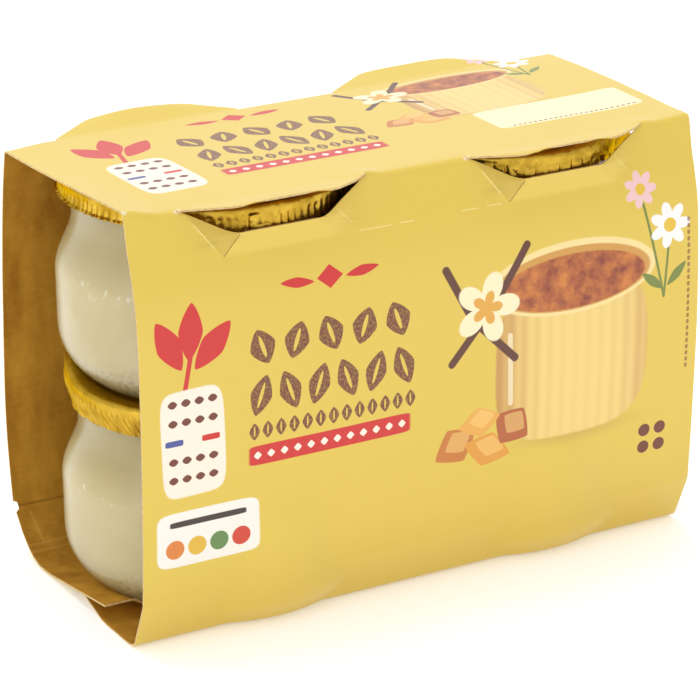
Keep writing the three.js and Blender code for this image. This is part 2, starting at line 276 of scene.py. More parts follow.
class Recipe:
    """A node tree with short methods that add one step each and return its output socket."""

    def __init__(self, tree: Group) -> None:
        """Starts on an empty or given tree."""
        self.tree = tree

    def node(self, kind: str, given: Any = (), **settings: Any) -> bpy.types.Node:
        """Adds a node, sets its properties and fills its inputs.

        Args:
            kind: the node's type.
            given: what each input gets, in order, or by the input's number or name.
            **settings: its properties.

        Returns:
            The node.
        """
        made = self.tree.nodes.new(kind)
        for name, value in settings.items():
            setattr(made, name, value)
        for key, value in (given if isinstance(given, dict) else dict(enumerate(given))).items():
            self.put(made.inputs[key], value)
        return made

    def put(self, socket: Socket, value: Any) -> None:
        """Joins another socket to this one, or sets its value, with what a short colour or vector lacks.

        Args:
            socket: the input.
            value: another node's output, or what the input is set to.
        """
        if isinstance(value, Socket):
            self.tree.links.new(value, socket)
        elif socket.type == "RGBA" and len(value) == 3:
            socket.default_value = (*value, 1.0)
        elif socket.type == "VECTOR" and len(value) == 2:
            socket.default_value = (*value, 0.0)
        else:
            socket.default_value = value

    def math(self, operation: str, *values: Any, clamp: bool = False) -> Socket:
        """One arithmetic step on numbers."""
        return self.node("ShaderNodeMath", values, operation=operation, use_clamp=clamp).outputs[0]

    def vector(self, operation: str, *values: Any) -> Socket:
        """One arithmetic step on vectors: the value output for a length or a product, else the vector."""
        given = dict(zip((0, 3), values)) if operation == "SCALE" else values
        kind = "Value" if operation in ("LENGTH", "DOT_PRODUCT", "DISTANCE") else "Vector"
        return self.node("ShaderNodeVectorMath", given, operation=operation).outputs[kind]

    def split(self, vector: Any) -> tuple[Socket, ...]:
        """The x, y and z of a vector."""
        return tuple(self.node("ShaderNodeSeparateXYZ", [vector]).outputs)

    def join(self, x: Any, y: Any, z: Any = 0.0) -> Socket:
        """A vector from x, y and z."""
        return self.node("ShaderNodeCombineXYZ", [x, y, z]).outputs[0]

    def remap(self, value: Any, low: float, high: float, start: float, end: float) -> Socket:
        """Smooth step of a value from start to end as it goes from low to high."""
        given = [value, low, high, start, end]
        return self.node("ShaderNodeMapRange", given, interpolation_type="SMOOTHSTEP").outputs[0]

    def blend(self, share: Any, below: Any, above: Any) -> Socket:
        """Colour between two colours."""
        return self.node("ShaderNodeMix", {0: share, 6: below, 7: above}, data_type="RGBA").outputs[2]

    def pick(self, share: Any, below: Any, above: Any) -> Socket:
        """Vector between two vectors."""
        return self.node("ShaderNodeMix", {0: share, 4: below, 5: above}, data_type="VECTOR").outputs[1]

    def noise(self, place: Any, scale: float, detail: float = 3.0, rough: float = 0.5) -> Socket:
        """Perlin noise from 0 to 1."""
        given = {"Vector": place, "Scale": scale, "Detail": detail, "Roughness": rough}
        return self.node("ShaderNodeTexNoise", given).outputs["Fac"]

    def group(self, tree: Group, **values: Any) -> Any:
        """Places a node group with its inputs by name, and returns its outputs by name."""
        return self.node("ShaderNodeGroup", values, node_tree=tree).outputs

    def use(self, tree: Group, **values: Any) -> Socket:
        """Places a node group and returns its mask."""
        return self.group(tree, **values)["Mask"]

    def far_from(self, value: Any, middle: float, reach: float) -> Socket:
        """| |value - middle| - reach |: how far a value is from the nearer of two places."""
        away = self.math("ABSOLUTE", self.math("SUBTRACT", value, middle))
        return self.math("ABSOLUTE", self.math("SUBTRACT", away, reach))

    def bump(self, height: Any, strength: float, distance: float) -> Socket:
        """Normal of a height."""
        given = {"Strength": strength, "Distance": distance, "Height": height}
        return self.node("ShaderNodeBump", given).outputs[0]


class Shape(Enum):
    """Node groups that the finishes share, by name."""

    BLOT = "blot"
    STROKE = "stroke"
    PETALS = "petals"
    CELLS = "cells"
    MOTTLE = "mottle"


class ShapeKit:
    """Builds each shared node group once: masks of printed shapes, and mottling."""

    def __init__(self) -> None:
        """Makes all the groups."""
        self.groups = {
            Shape.BLOT: self.blot(),
            Shape.STROKE: self.stroke(),
            Shape.PETALS: self.petals(),
            Shape.CELLS: self.cells(),
            Shape.MOTTLE: self.mottle(),
        }

    def __getitem__(self, shape: Shape) -> Group:
        """The group of that name."""
        return self.groups[shape]

    @staticmethod
    def start(shape: Shape, outputs: dict[str, str], **inputs: Any) -> tuple:
        """New group with named sockets.

        Args:
            shape: the group's name.
            outputs: for each output its kind.
            **inputs: for each input its usual value, three numbers for a vector.

        Returns:
            The tree, a recipe for it, its inputs by name and its output node's inputs.
        """
        tree = bpy.data.node_groups.new(shape.value, "ShaderNodeTree")
        for name, value in inputs.items():
            kind = "Vector" if isinstance(value, tuple) else "Float"
            socket = tree.interface.new_socket(name, in_out="INPUT", socket_type=f"NodeSocket{kind}")
            socket.default_value = value
        for name, kind in outputs.items():
            tree.interface.new_socket(name, in_out="OUTPUT", socket_type=f"NodeSocket{kind}")
        recipe = Recipe(tree)
        return tree, recipe, recipe.node("NodeGroupInput").outputs, recipe.node("NodeGroupOutput").inputs

    def blot(self) -> Group:
        """Turned superellipse: 1 where |x/a|^p + |y/b|^p < 1, a leaf at p near 1.4 and a box at p 8.

        Returns:
            The group.
        """
        tree, make, given, out = self.start(Shape.BLOT, {"Mask": "Float"}, Point=ORIGIN, Centre=ORIGIN,
                                            Size=(1.0, 1.0, 1.0), Turn=0.0, Power=2.0, Soft=0.04)
        about = make.vector("SUBTRACT", given["Point"], given["Centre"])
        spin = make.node("ShaderNodeVectorRotate", rotation_type="Z_AXIS")
        make.put(spin.inputs["Vector"], about)
        make.put(spin.inputs["Angle"], make.math("MULTIPLY", given["Turn"], -1.0))
        x, y, _ = make.split(make.vector("ABSOLUTE", make.vector("DIVIDE", spin.outputs[0], given["Size"])))
        total = make.math("ADD", make.math("POWER", x, given["Power"]), make.math("POWER", y, given["Power"]))
        reach = make.math("POWER", total, make.math("DIVIDE", 1.0, given["Power"]))
        inner = make.math("SUBTRACT", 1.0, given["Soft"])
        make.put(out["Mask"], make.remap(reach, inner, 1.0, 1.0, 0.0))
        return tree

    def stroke(self) -> Group:
        """Round-ended line: 1 where the distance to the segment from Start to End is under Width.

        Returns:
            The group.
        """
        tree, make, given, out = self.start(Shape.STROKE, {"Mask": "Float"}, Point=ORIGIN, Start=ORIGIN,
                                            End=(1.0, 0.0, 0.0), Width=0.3)
        about = make.vector("SUBTRACT", given["Point"], given["Start"])
        along = make.vector("SUBTRACT", given["End"], given["Start"])
        share = make.math("DIVIDE", make.vector("DOT_PRODUCT", about, along),
                          make.vector("DOT_PRODUCT", along, along), clamp=True)
        away = make.vector("DISTANCE", about, make.vector("SCALE", along, share))
        make.put(out["Mask"], make.remap(make.math("DIVIDE", away, given["Width"]), 0.75, 1.0, 1.0, 0.0))
        return tree

    def petals(self) -> Group:
        """Flower: 1 inside the radius times 1 - Depth + Depth |cos(Count angle / 2)|.

        Returns:
            The group.
        """
        tree, make, given, out = self.start(Shape.PETALS, {"Mask": "Float"}, Point=ORIGIN, Centre=ORIGIN,
                                            Radius=1.0, Count=6.0, Depth=0.5)
        about = make.vector("SUBTRACT", given["Point"], given["Centre"])
        x, y, _ = make.split(about)
        swing = make.math("MULTIPLY", make.math("ARCTAN2", y, x), make.math("MULTIPLY", given["Count"], 0.5))
        lobe = make.math("ABSOLUTE", make.math("COSINE", swing))
        edge = make.math("ADD", make.math("SUBTRACT", 1.0, given["Depth"]),
                         make.math("MULTIPLY", given["Depth"], lobe))
        outline = make.math("MULTIPLY", edge, given["Radius"])
        reach = make.math("DIVIDE", make.vector("LENGTH", about), outline)
        make.put(out["Mask"], make.remap(reach, 0.93, 1.0, 1.0, 0.0))
        return tree

    def cells(self) -> Group:
        """Rows of equal cells: the place within a cell, its number along x, and 1 inside the block.

        Returns:
            The group.
        """
        kinds = {"Place": "Vector", "Number": "Float", "Mask": "Float"}
        tree, make, given, out = self.start(Shape.CELLS, kinds, Point=ORIGIN, Corner=ORIGIN,
                                            Pitch=(1.0, 1.0, 1.0), Count=(1.0, 1.0, 1.0))
        run = make.vector("DIVIDE", make.vector("SUBTRACT", given["Point"], given["Corner"]), given["Pitch"])
        cell = make.vector("FLOOR", run)
        local = make.vector("SUBTRACT", make.vector("SUBTRACT", run, cell), (0.5, 0.5, 0.0))
        make.put(out["Place"], make.vector("MULTIPLY", local, given["Pitch"]))
        x, y, _ = make.split(cell)
        make.put(out["Number"], x)
        columns, rows, _ = make.split(given["Count"])
        inside = [
            make.math("GREATER_THAN", x, -0.5),
            make.math("LESS_THAN", x, make.math("SUBTRACT", columns, 0.5)),
            make.math("GREATER_THAN", y, -0.5),
            make.math("LESS_THAN", y, make.math("SUBTRACT", rows, 0.5)),
        ]
        wide = make.math("MULTIPLY", inside[0], inside[1])
        tall = make.math("MULTIPLY", inside[2], inside[3])
        make.put(out["Mask"], make.math("MULTIPLY", wide, tall))
        return tree

    def mottle(self) -> Group:
        """Cloudy mask: noise at Scale, pushed apart by Contrast round its middle.

        Returns:
            The group.
        """
        tree, make, given, out = self.start(Shape.MOTTLE, {"Mask": "Float"}, Point=ORIGIN, Scale=1.0,
                                            Detail=4.0, Contrast=2.0)
        grain = make.noise(given["Point"], given["Scale"], given["Detail"], 0.6)
        spread = make.math("MULTIPLY", make.math("SUBTRACT", grain, 0.5), given["Contrast"])
        make.put(out["Mask"], make.math("ADD", spread, 0.5, clamp=True))
        return tree


def new_material(name: str) -> tuple[Material, Recipe, bpy.types.Node]:
    """A node material with its Principled shader, and a recipe for its tree.

    Args:
        name: its name.

    Returns:
        The material, the recipe and the shader.
    """
    material = bpy.data.materials.new(name)
    material.use_nodes = True
    recipe = Recipe(material.node_tree)
    return material, recipe, material.node_tree.nodes["Principled BSDF"]


# ---------------------------------------------------------------- finishes


class Press:
    """Lays one printed shape after another over the colour so far.

    Args:
        make: recipe for the material's tree.
        kit: the shared node groups.
        colour: the bare ground.
        place: where a shape is printed, in millimetres.
    """

    def __init__(self, make: Recipe, kit: ShapeKit, colour: Any, place: Any) -> None:
        """Starts on the bare ground."""
        self.make, self.kit = make, kit
        self.colour, self.place = colour, place

    def lay(self, mask: Any, ink: Any, *shares: Any) -> None:
        """Lays an ink over the colour so far.

        Args:
            mask: 1 where the ink is laid.
            ink: its colour.
            *shares: further factors of the mask.
        """
        for share in shares:
            mask = self.make.math("MULTIPLY", mask, share)
        self.colour = self.make.blend(mask, self.colour, ink)

    def mask(self, shape: Shape, **values: Any) -> Socket:
        """Mask of a shared shape, at the press's place where no Point is given."""
        return self.make.use(self.kit[shape], **{"Point": self.place, **values})

    def blot(self, ink: Any, centre: tuple, size: tuple, *shares: Any, **values: Any) -> None:
        """Prints one superellipse by its centre and half sizes."""
        self.lay(self.mask(Shape.BLOT, Centre=centre, Size=(*size, 1.0), **values), ink, *shares)

    def stroke(self, ink: Any, start: tuple, end: tuple, width: float, *shares: Any) -> None:
        """Prints one round-ended line."""
        self.lay(self.mask(Shape.STROKE, Start=start, End=end, Width=width), ink, *shares)

    def flower(self, ink: Any, centre: tuple, radius: float, count: float, depth: float) -> None:
        """Prints one flower by its radius, number of petals and how deep they are parted."""
        self.lay(self.mask(Shape.PETALS, Centre=centre, Radius=radius, Count=count, Depth=depth), ink)

    def cells(self, corner: tuple, pitch: tuple, count: tuple) -> Any:
        """Place in a cell, Number of its column and Mask of the block, by output name."""
        return self.make.group(self.kit[Shape.CELLS], Point=self.place, Corner=corner, Pitch=(*pitch, 1.0),
                               Count=(*count, 1.0))

    def dotted(self, ink: Any, block: tuple, size: tuple, *shares: Any, **values: Any) -> None:
        """Prints the same superellipse in each cell of a block.

        Args:
            ink: its colour.
            block: the block's lower left corner, its pitch and its number of columns and rows.
            size: the superellipse's half sizes.
            *shares: further factors of the mask.
            **values: its turn, power or softness.
        """
        cell = self.cells(*block)
        dot = self.mask(Shape.BLOT, Point=cell["Place"], Size=(*size, 1.0), **values)
        self.lay(dot, ink, cell["Mask"], *shares)


@dataclass(frozen=True)
class PrintedBoard:
    """Coated board with the pack's print: yellow ground, generic motifs, lighter creases and painted shade.

    Motifs are placed in millimetres on a wall, along the pack and up. The same motifs come once more on
    the top, whose print coordinates go up from 200 by its depth.

    Args:
        leaf_power: power of the superellipse that makes a leaf.
        top_level: print height above which the top begins.
        top_shift: print height of the top's middle line.
        left_on_top: scale and shift along the pack, then across it, of the left motifs on the top.
        right_on_top: the same for the right motifs.
        column_x: distance of a column of jars from the middle.
        upper_crease: height of the upper crease.
    """

    ground: Colour = linear(221, 191, 75)
    light: Colour = linear(250, 234, 168)
    # painted shade: at the foot of each wall, in one score and on a pressed-in facet by each window
    painted_shade: Colour = linear(158, 118, 16)
    torn: Colour = linear(240, 226, 196)
    brown: Colour = linear(112, 52, 27)
    red: Colour = linear(204, 34, 28)
    cream: Colour = linear(243, 232, 214)
    green: Colour = linear(118, 130, 52)
    blue: Colour = linear(70, 82, 150)
    label: Colour = linear(240, 236, 226)
    charcoal: Colour = linear(58, 42, 36)
    discs: tuple[Colour, ...] = (linear(218, 126, 48), linear(222, 178, 52), linear(96, 134, 72),
                                 linear(206, 60, 38))
    shadow: Colour = linear(190, 148, 62)
    dish: Colour = linear(236, 205, 122)
    dish_shade: Colour = linear(196, 146, 74)
    rim: Colour = linear(240, 216, 148)
    lip: Colour = linear(205, 150, 66)
    sugar: Colour = linear(206, 122, 44)
    burnt: Colour = linear(134, 48, 24)
    gleam: Colour = linear(250, 240, 205)
    caramels: tuple[Colour, ...] = (linear(198, 118, 42), linear(222, 152, 50), linear(178, 92, 38),
                                    linear(228, 168, 72))
    caramel_gleam: Colour = linear(246, 206, 120)
    pod: Colour = linear(92, 46, 24)
    petal: Colour = linear(246, 232, 190)
    heart: Colour = linear(222, 164, 62)
    white: Colour = linear(246, 240, 236)
    pink: Colour = linear(238, 196, 196)
    eye: Colour = linear(226, 188, 56)
    date_box: Colour = linear(246, 233, 186)
    date_dots: Colour = linear(150, 104, 60)
    leaf_power: float = 1.35
    top_level: float = 150.0
    top_shift: float = 200.0
    left_on_top: tuple[float, ...] = (1.0, -8.5, 1.04, 61.0)
    right_on_top: tuple[float, ...] = (1.22, -10.6, 1.55, 37.6)
    column_x: float = COLUMN_X
    upper_crease: float = 97.6

    def material(self, kit: ShapeKit) -> Material:
        """Builds the material: each motif's mask lays its ink over what is below it.

        Args:
            kit: the shared node groups.

        Returns:
            The material.
        """
        material, make, shader = new_material("printed_board")
        print_map = make.node("ShaderNodeUVMap", uv_map=PRINT_MAP)
        place = make.vector("SCALE", print_map.outputs[0], PRINT_UNIT)
        across, up, _ = make.split(place)
        on_top = make.math("GREATER_THAN", up, self.top_level)
        top_y = make.math("SUBTRACT", up, self.top_shift)
        on_panel = []
        for scale_x, shift_x, scale_y, shift_y in (self.left_on_top, self.right_on_top):
            along = make.math("MULTIPLY_ADD", across, scale_x, shift_x)
            upwards = make.math("MULTIPLY_ADD", top_y, scale_y, shift_y)
            on_panel.append(make.pick(on_top, place, make.join(along, upwards)))
        press = Press(make, kit, self.ground, on_panel[0])
        on_wall = make.math("SUBTRACT", 1.0, on_top)
        self.left_motifs(press, on_wall)
        press.place = on_panel[1]
        self.right_motifs(press, on_wall)
        press.place = make.join(across, top_y)
        press.blot(self.date_box, (54.0, -10.4), (21.0, 8.0), on_top, Power=14.0)
        press.dotted(self.date_dots, ((37.0, -17.6), (1.5, 1.2), (24.0, 1.0)), (0.5, 0.4), on_top, Power=3.0)
        self.score_lines(press, across, up)
        make.put(shader.inputs["Base Color"], press.colour)
        fibre = make.node("ShaderNodeTexCoord").outputs["Object"]
        grain = make.use(kit[Shape.MOTTLE], Point=fibre, Scale=900.0, Detail=2.0, Contrast=1.5)
        wave = make.noise(fibre, 38.0, 2.0)
        height = make.math("MULTIPLY_ADD", grain, 0.12, wave)
        make.put(shader.inputs["Normal"], make.bump(height, 0.16, 0.0004))
        make.put(shader.inputs["Roughness"], 0.36)
        make.put(shader.inputs["Specular IOR Level"], 0.65)
        return material

    def left_motifs(self, press: Press, on_wall: Any) -> None:
        """Sprig, badge, divider, rows of leaf tiles, ribbon and label, at the left of a panel.

        Args:
            press: what prints, at the left motifs' place.
            on_wall: 1 on a wall, 0 on the top.
        """
        make, leaf = press.make, {"Power": self.leaf_power}
        for centre, turn in (((-70.2, 79.0), 0.45), ((-64.4, 81.6), -0.1), ((-58.8, 77.4), -0.75)):
            press.blot(self.red, centre, (3.3, 7.2), Turn=turn, **leaf)
        press.stroke(self.red, (-66.6, 66.6), (-64.6, 76.0), 0.7)

        press.blot(self.cream, (-64.6, 54.0), (8.5, 13.9), Turn=0.03, Power=6.0)
        for low in (57.2, 42.6):
            press.dotted(self.brown, ((-71.6, low), (3.5, 4.8), (4.0, 2.0)), (1.25, 1.0), Power=1.6)
        for centre, ink in (((-69.6, 54.6), self.blue), ((-60.0, 54.6), self.red)):
            press.blot(ink, centre, (2.4, 0.8), Power=6.0)

        press.blot(self.red, (-27.0, 88.4), (3.6, 3.0), Power=1.0)
        for side in (-1.0, 1.0):
            press.blot(self.red, (-27.0 + side * 8.8, 88.4), (4.6, 1.3), Turn=side * 0.12, **leaf)

        wear = press.mask(Shape.MOTTLE, Scale=1.6, Detail=3.0, Contrast=5.0)
        printed = make.math("MULTIPLY_ADD", wear, 0.35, 0.75, clamp=True)
        rows = [((-50.4, 69.4), (9.2, 10.2), 5.0, (3.5, 4.7), 0.32),
                ((-50.4, 56.8), (7.8, 11.0), 6.0, (3.0, 5.3), -0.32),
                ((-50.2, 50.8), (3.56, 5.0), 13.0, (1.45, 2.2), 0.0)]
        for corner, pitch, count, (wide, tall), turn in rows:
            cell = press.cells(corner, pitch, (count, 1.0))
            within = make.math("MULTIPLY", cell["Mask"], printed)
            odd = make.math("PINGPONG", cell["Number"], 1.0)
            spot = {"Point": cell["Place"], "Turn": make.math("MULTIPLY_ADD", odd, -2.0 * turn, turn)}
            whole = press.mask(Shape.BLOT, Size=(wide, tall, 1.0), **spot, **leaf)
            vein = press.mask(Shape.BLOT, Size=(wide * 0.16, tall * 0.62, 1.0), **spot)
            press.lay(make.math("SUBTRACT", whole, vein, clamp=True), self.brown, within)

        press.blot(self.red, (-27.8, 47.0), (22.6, 2.6), Power=14.0)
        press.dotted(self.cream, ((-49.4, 45.2), (3.6, 3.6), (12.0, 1.0)), (1.05, 1.05), Power=1.2)

        press.blot(self.label, (-60.8, 29.4), (13.9, 7.3), on_wall, Power=8.0)
        cell = press.cells((-72.6, 23.9), (5.9, 6.0), (len(self.discs), 1.0))
        disc = press.mask(Shape.BLOT, Point=cell["Place"], Size=(2.5, 2.5, 1.0))
        press.lay(disc, self.disc_inks(make, cell["Number"]), cell["Mask"], on_wall)
        press.blot(self.charcoal, (-60.8, 33.4), (10.4, 0.8), on_wall, Power=8.0)

    def disc_inks(self, make: Recipe, number: Any) -> Socket:
        """Ink of a disc by its number, from a ramp with one flat step for each disc.

        Args:
            make: recipe for the material's tree.
            number: the disc's number, from 0.

        Returns:
            The ink.
        """
        inks = make.node("ShaderNodeValToRGB")
        inks.color_ramp.interpolation = "CONSTANT"
        steps, count = inks.color_ramp.elements, len(self.discs)
        for place, ink in enumerate(self.discs):
            step = steps[place] if place < len(steps) else steps.new(place / count)
            step.position = place / count
            step.color = (*ink, 1.0)
        make.put(inks.inputs[0], make.math("MULTIPLY_ADD", number, 1.0 / count, 0.05))
        return inks.outputs[0]

    def right_motifs(self, press: Press, on_wall: Any) -> None:
        """Ramekin, shards of caramel, pods with a flower, discs and blossoms, at the right of a panel.

        Args:
            press: what prints, at the right motifs' place.
            on_wall: 1 on a wall, 0 on the top.
        """
        make = press.make
        press.blot(self.shadow, (42.0, 34.6), (25.0, 4.0), 0.5, Soft=0.9)
        across = make.split(press.place)[0]
        flute = make.math("SINE", make.math("MULTIPLY", across, 1.7))
        side = make.math("ABSOLUTE", make.math("DIVIDE", make.math("SUBTRACT", across, 43.0), 24.0))
        dark = make.math("MULTIPLY_ADD", flute, 0.12, make.math("POWER", side, 2.5))
        glaze = make.blend(make.remap(dark, -0.1, 1.1, 0.0, 1.0), self.dish, self.dish_shade)
        press.blot(glaze, (40.7, 55.0), (22.6, 21.4), Power=3.4)
        press.blot(self.rim, (40.7, 76.0), (24.8, 9.6))
        press.blot(self.lip, (40.7, 75.6), (23.2, 8.3))
        burnt = press.mask(Shape.MOTTLE, Scale=0.22, Detail=5.0, Contrast=3.2)
        press.blot(make.blend(burnt, self.sugar, self.burnt), (40.7, 74.9), (21.6, 7.2))
        press.stroke(self.gleam, (23.0, 46.0), (22.6, 64.0), 0.8, 0.6)

        shards = [((7.4, 37.6), (6.6, 5.2), 0.5), ((16.6, 34.8), (7.2, 4.6), -0.35),
                  ((23.6, 39.8), (5.4, 6.0), 0.9), ((14.2, 42.6), (6.0, 4.2), 0.15)]
        for ((x, y), (wide, tall), turn), ink in zip(shards, self.caramels):
            form = {"Turn": turn, "Power": 1.15}
            press.blot(ink, (x, y), (wide, tall), **form)
            press.blot(self.caramel_gleam, (x + 0.7, y + 0.8), (wide * 0.62, tall * 0.62), 0.45, **form)

        for start, end in (((4.6, 84.0), (12.0, 70.0)), ((12.0, 70.0), (24.0, 58.0)),
                           ((27.6, 86.6), (19.0, 74.0)), ((19.0, 74.0), (6.0, 59.6))):
            press.stroke(self.pod, start, end, 1.2)
        press.flower(self.petal, (16.0, 72.4), 9.6, 5.0, 0.55)
        press.flower(self.heart, (16.0, 72.4), 4.6, 5.0, 0.6)
        press.dotted(self.brown, ((61.0, 23.0), (4.7, 4.7), (2.0, 2.0)), (1.75, 1.75))

        for end in ((69.0, 80.0), (61.8, 91.0)):
            press.stroke(self.green, (67.6, 66.0), end, 0.4)
        for centre, turn in (((64.2, 70.6), 0.9), ((71.4, 71.4), -0.8)):
            press.blot(self.green, centre, (1.3, 4.0), Turn=turn, Power=1.4)
        for centre, radius, ink in (((69.4, 84.4), 6.2, self.white), ((61.4, 94.6), 4.9, self.pink)):
            press.flower(ink, centre, radius, 7.0, 0.45)
            press.blot(self.eye, centre, (radius * 0.3, radius * 0.3))
        seam = ((74.6, 45.0), (0.9, 1.7), (1.0, 24.0))
        press.dotted(self.brown, seam, (0.42, 0.6), on_wall, 0.7, Power=4.0)

    def score_lines(self, press: Press, across: Any, up: Any) -> None:
        """Painted shade at the foot and by each window, scores, nicks and short cuts.

        Args:
            press: what prints.
            across: print coordinate along the pack.
            up: print coordinate upwards.
        """
        make = press.make
        # painted shade deepening towards the foot of each wall
        press.lay(make.remap(up, 2.0, 26.0, 0.16, 0.0), self.painted_shade)
        centre = make.math("MULTIPLY", make.math("SIGN", across), self.column_x)
        column = make.math("SUBTRACT", across, centre)
        press.place = make.join(column, up)
        left_end, right_end = (-21.5, 105.8), (-11.0, 102.4)
        # the second score is a dark line of painted shade in its crease
        scores = [(left_end, (-17.2, 99.9), 0.12, self.light, 0.65),
                  (right_end, (-14.9, self.upper_crease), 0.17, self.painted_shade, 0.95),
                  ((15.7, 103.9), (19.5, 99.8), 0.11, self.light, 0.4)]
        for start, end, width, ink, share in scores:
            press.stroke(ink, start, end, width, share)

        # painted shade on the pressed-in facet between the two scores by each window
        halves = [make.vector("DOT_PRODUCT", make.vector("SUBTRACT", press.place, end), inwards)
                  for end, inwards in ((left_end, (0.808, 0.589)), (right_end, (-0.777, 0.631)))]
        facet_shade = make.remap(make.math("MINIMUM", *halves), 0.0, 0.4, 0.0, 0.28)
        press.lay(facet_shade, self.painted_shade, make.math("LESS_THAN", up, 111.0))

        window_ends = make.far_from(column, -31.75, 6.85)
        top_folds = make.far_from(up, 138.1, 28.8)
        nick = press.mask(Shape.BLOT, Point=make.join(window_ends, top_folds), Size=(1.3, 0.7, 1.0),
                          Power=1.6, Soft=0.5)
        left_half, inner_end = make.math("LESS_THAN", across, 0.0), make.math("GREATER_THAN", column, -30.0)
        press.lay(nick, self.torn, make.math("MULTIPLY", make.math("MAXIMUM", left_half, inner_end), 0.65))

        press.place = make.join(across, up)
        for start, end in ((-17.7, -9.2), (-6.5, -3.1), (10.6, 15.0), (17.6, 21.6)):
            press.stroke(self.light, (start, self.upper_crease), (end, self.upper_crease - 0.1), 0.13, 0.55)


@dataclass(frozen=True)
class Kraft:
    """Bare brown inside of the board: short fibres, cloudy tone, the marks of its folds and painted shade in
    its lower crease.

    Args:
        light: tone of its bright clouds.
        dark: tone of its dark clouds.
        crease: tone of the painted shade in the lower crease.
        pressed: tone where the board was pressed.
        creases: height, width, share and tone of each level line on the rear wall's inside.
        mark: start and end of the pressed mark, as distance from the middle and height.
        rear_from: y behind which the marks lie.
    """

    light: Colour = linear(199, 148, 52)
    dark: Colour = linear(149, 99, 24)
    # painted shade in the lower crease
    crease: Colour = linear(92, 52, 12)
    pressed: Colour = linear(214, 170, 92)
    creases: tuple = ((11.9, 0.4, 0.5, crease), (3.9, 0.35, 0.3, pressed), (2.7, 0.3, 0.25, pressed))
    mark: tuple = ((74.4, 10.2), (73.6, 4.0))
    rear_from: float = 20.0

    def material(self, kit: ShapeKit) -> Material:
        """Cloudy tone, stretched fibres and small flecks, with a faint felt relief and fold marks.

        Args:
            kit: the shared node groups.

        Returns:
            The material.
        """
        material, make, shader = new_material("kraft_inside")
        place = make.node("ShaderNodeTexCoord").outputs["Object"]
        upright = make.vector("MULTIPLY", place, (1.0, 1.0, 0.3))
        cloud = make.use(kit[Shape.MOTTLE], Point=upright, Scale=120.0, Detail=6.0, Contrast=2.7)
        stretched = make.vector("MULTIPLY", place, (0.35, 1.0, 1.0))
        fibre = make.use(kit[Shape.MOTTLE], Point=stretched, Scale=900.0, Detail=3.0, Contrast=2.2)
        tone = make.math("MULTIPLY_ADD", fibre, 0.22, make.math("MULTIPLY", cloud, 0.78), clamp=True)
        colour = make.blend(tone, self.dark, self.light)
        colour = self.fold_marks(make, kit, place, colour)
        make.put(shader.inputs["Base Color"], colour)
        make.put(shader.inputs["Normal"], make.bump(fibre, 0.08, 0.0002))
        make.put(shader.inputs["Roughness"], 0.9)
        make.put(shader.inputs["Specular IOR Level"], 0.15)
        return material

    def fold_marks(self, make: Recipe, kit: ShapeKit, place: Any, colour: Any) -> Any:
        """Dark line of painted shade in the lower crease, light lines of the bottom fold and a pressed mark
        by each end.

        Args:
            make: recipe for the material's tree.
            kit: the shared node groups.
            place: the place in metres.
            colour: tone so far.

        Returns:
            The tone with its marks.
        """
        x, y, z = make.split(make.vector("SCALE", place, 1.0 / MM))
        rear = make.math("GREATER_THAN", y, self.rear_from)
        waver = make.math("MULTIPLY_ADD", make.noise(place, 120.0, 2.0), 0.5, -0.25)
        height = make.math("ADD", z, waver)
        press = Press(make, kit, colour, make.join(make.math("ABSOLUTE", x), z))
        # the first level line is painted shade in the lower crease, the others pressed marks
        for level, width, share, ink in self.creases:
            away = make.math("ABSOLUTE", make.math("SUBTRACT", height, level))
            press.lay(make.remap(away, 0.0, width, share, 0.0), ink, rear)
        press.stroke(self.pressed, *self.mark, 0.35, rear, 0.3)
        return press.colour


@dataclass(frozen=True)
class BoardEdge:
    """Cut edge of the board: pale tan, with thin darker layers."""

    light: Colour = linear(224, 196, 140)
    dark: Colour = linear(192, 160, 106)

    def material(self, kit: ShapeKit) -> Material:
        """Fine cloudy mix of the two tones.

        Args:
            kit: the shared node groups.

        Returns:
            The material.
        """
        material, make, shader = new_material("board_edge")
        place = make.node("ShaderNodeTexCoord").outputs["Object"]
        grain = make.use(kit[Shape.MOTTLE], Point=place, Scale=1200.0, Detail=2.0, Contrast=2.5)
        make.put(shader.inputs["Base Color"], make.blend(grain, self.light, self.dark))
        make.put(shader.inputs["Roughness"], 0.8)
        make.put(shader.inputs["Specular IOR Level"], 0.2)
        return material


@dataclass(frozen=True)
class JarGlass:
    """Clear moulded glass, faintly green, that lets lamps through."""

    tint: Colour = (0.975, 0.985, 0.955)
    haze: float = 0.27

    def material(self) -> Material:
        """Clear refracting shader, with a clear shader for lamp light in its place.

        Returns:
            The material.
        """
        material, make, shader = new_material("jar_glass")
        for name, value in (("Base Color", self.tint), ("Roughness", self.haze), ("IOR", 1.5),
                            ("Transmission Weight", 1.0)):
            make.put(shader.inputs[name], value)
        clear = make.node("ShaderNodeBsdfTransparent", [self.tint])
        path = make.node("ShaderNodeLightPath")
        given = [path.outputs["Is Shadow Ray"], shader.outputs[0], clear.outputs[0]]
        mix = make.node("ShaderNodeMixShader", given)
        out = material.node_tree.nodes["Material Output"]
        make.put(out.inputs["Surface"], mix.outputs[0])
        return material


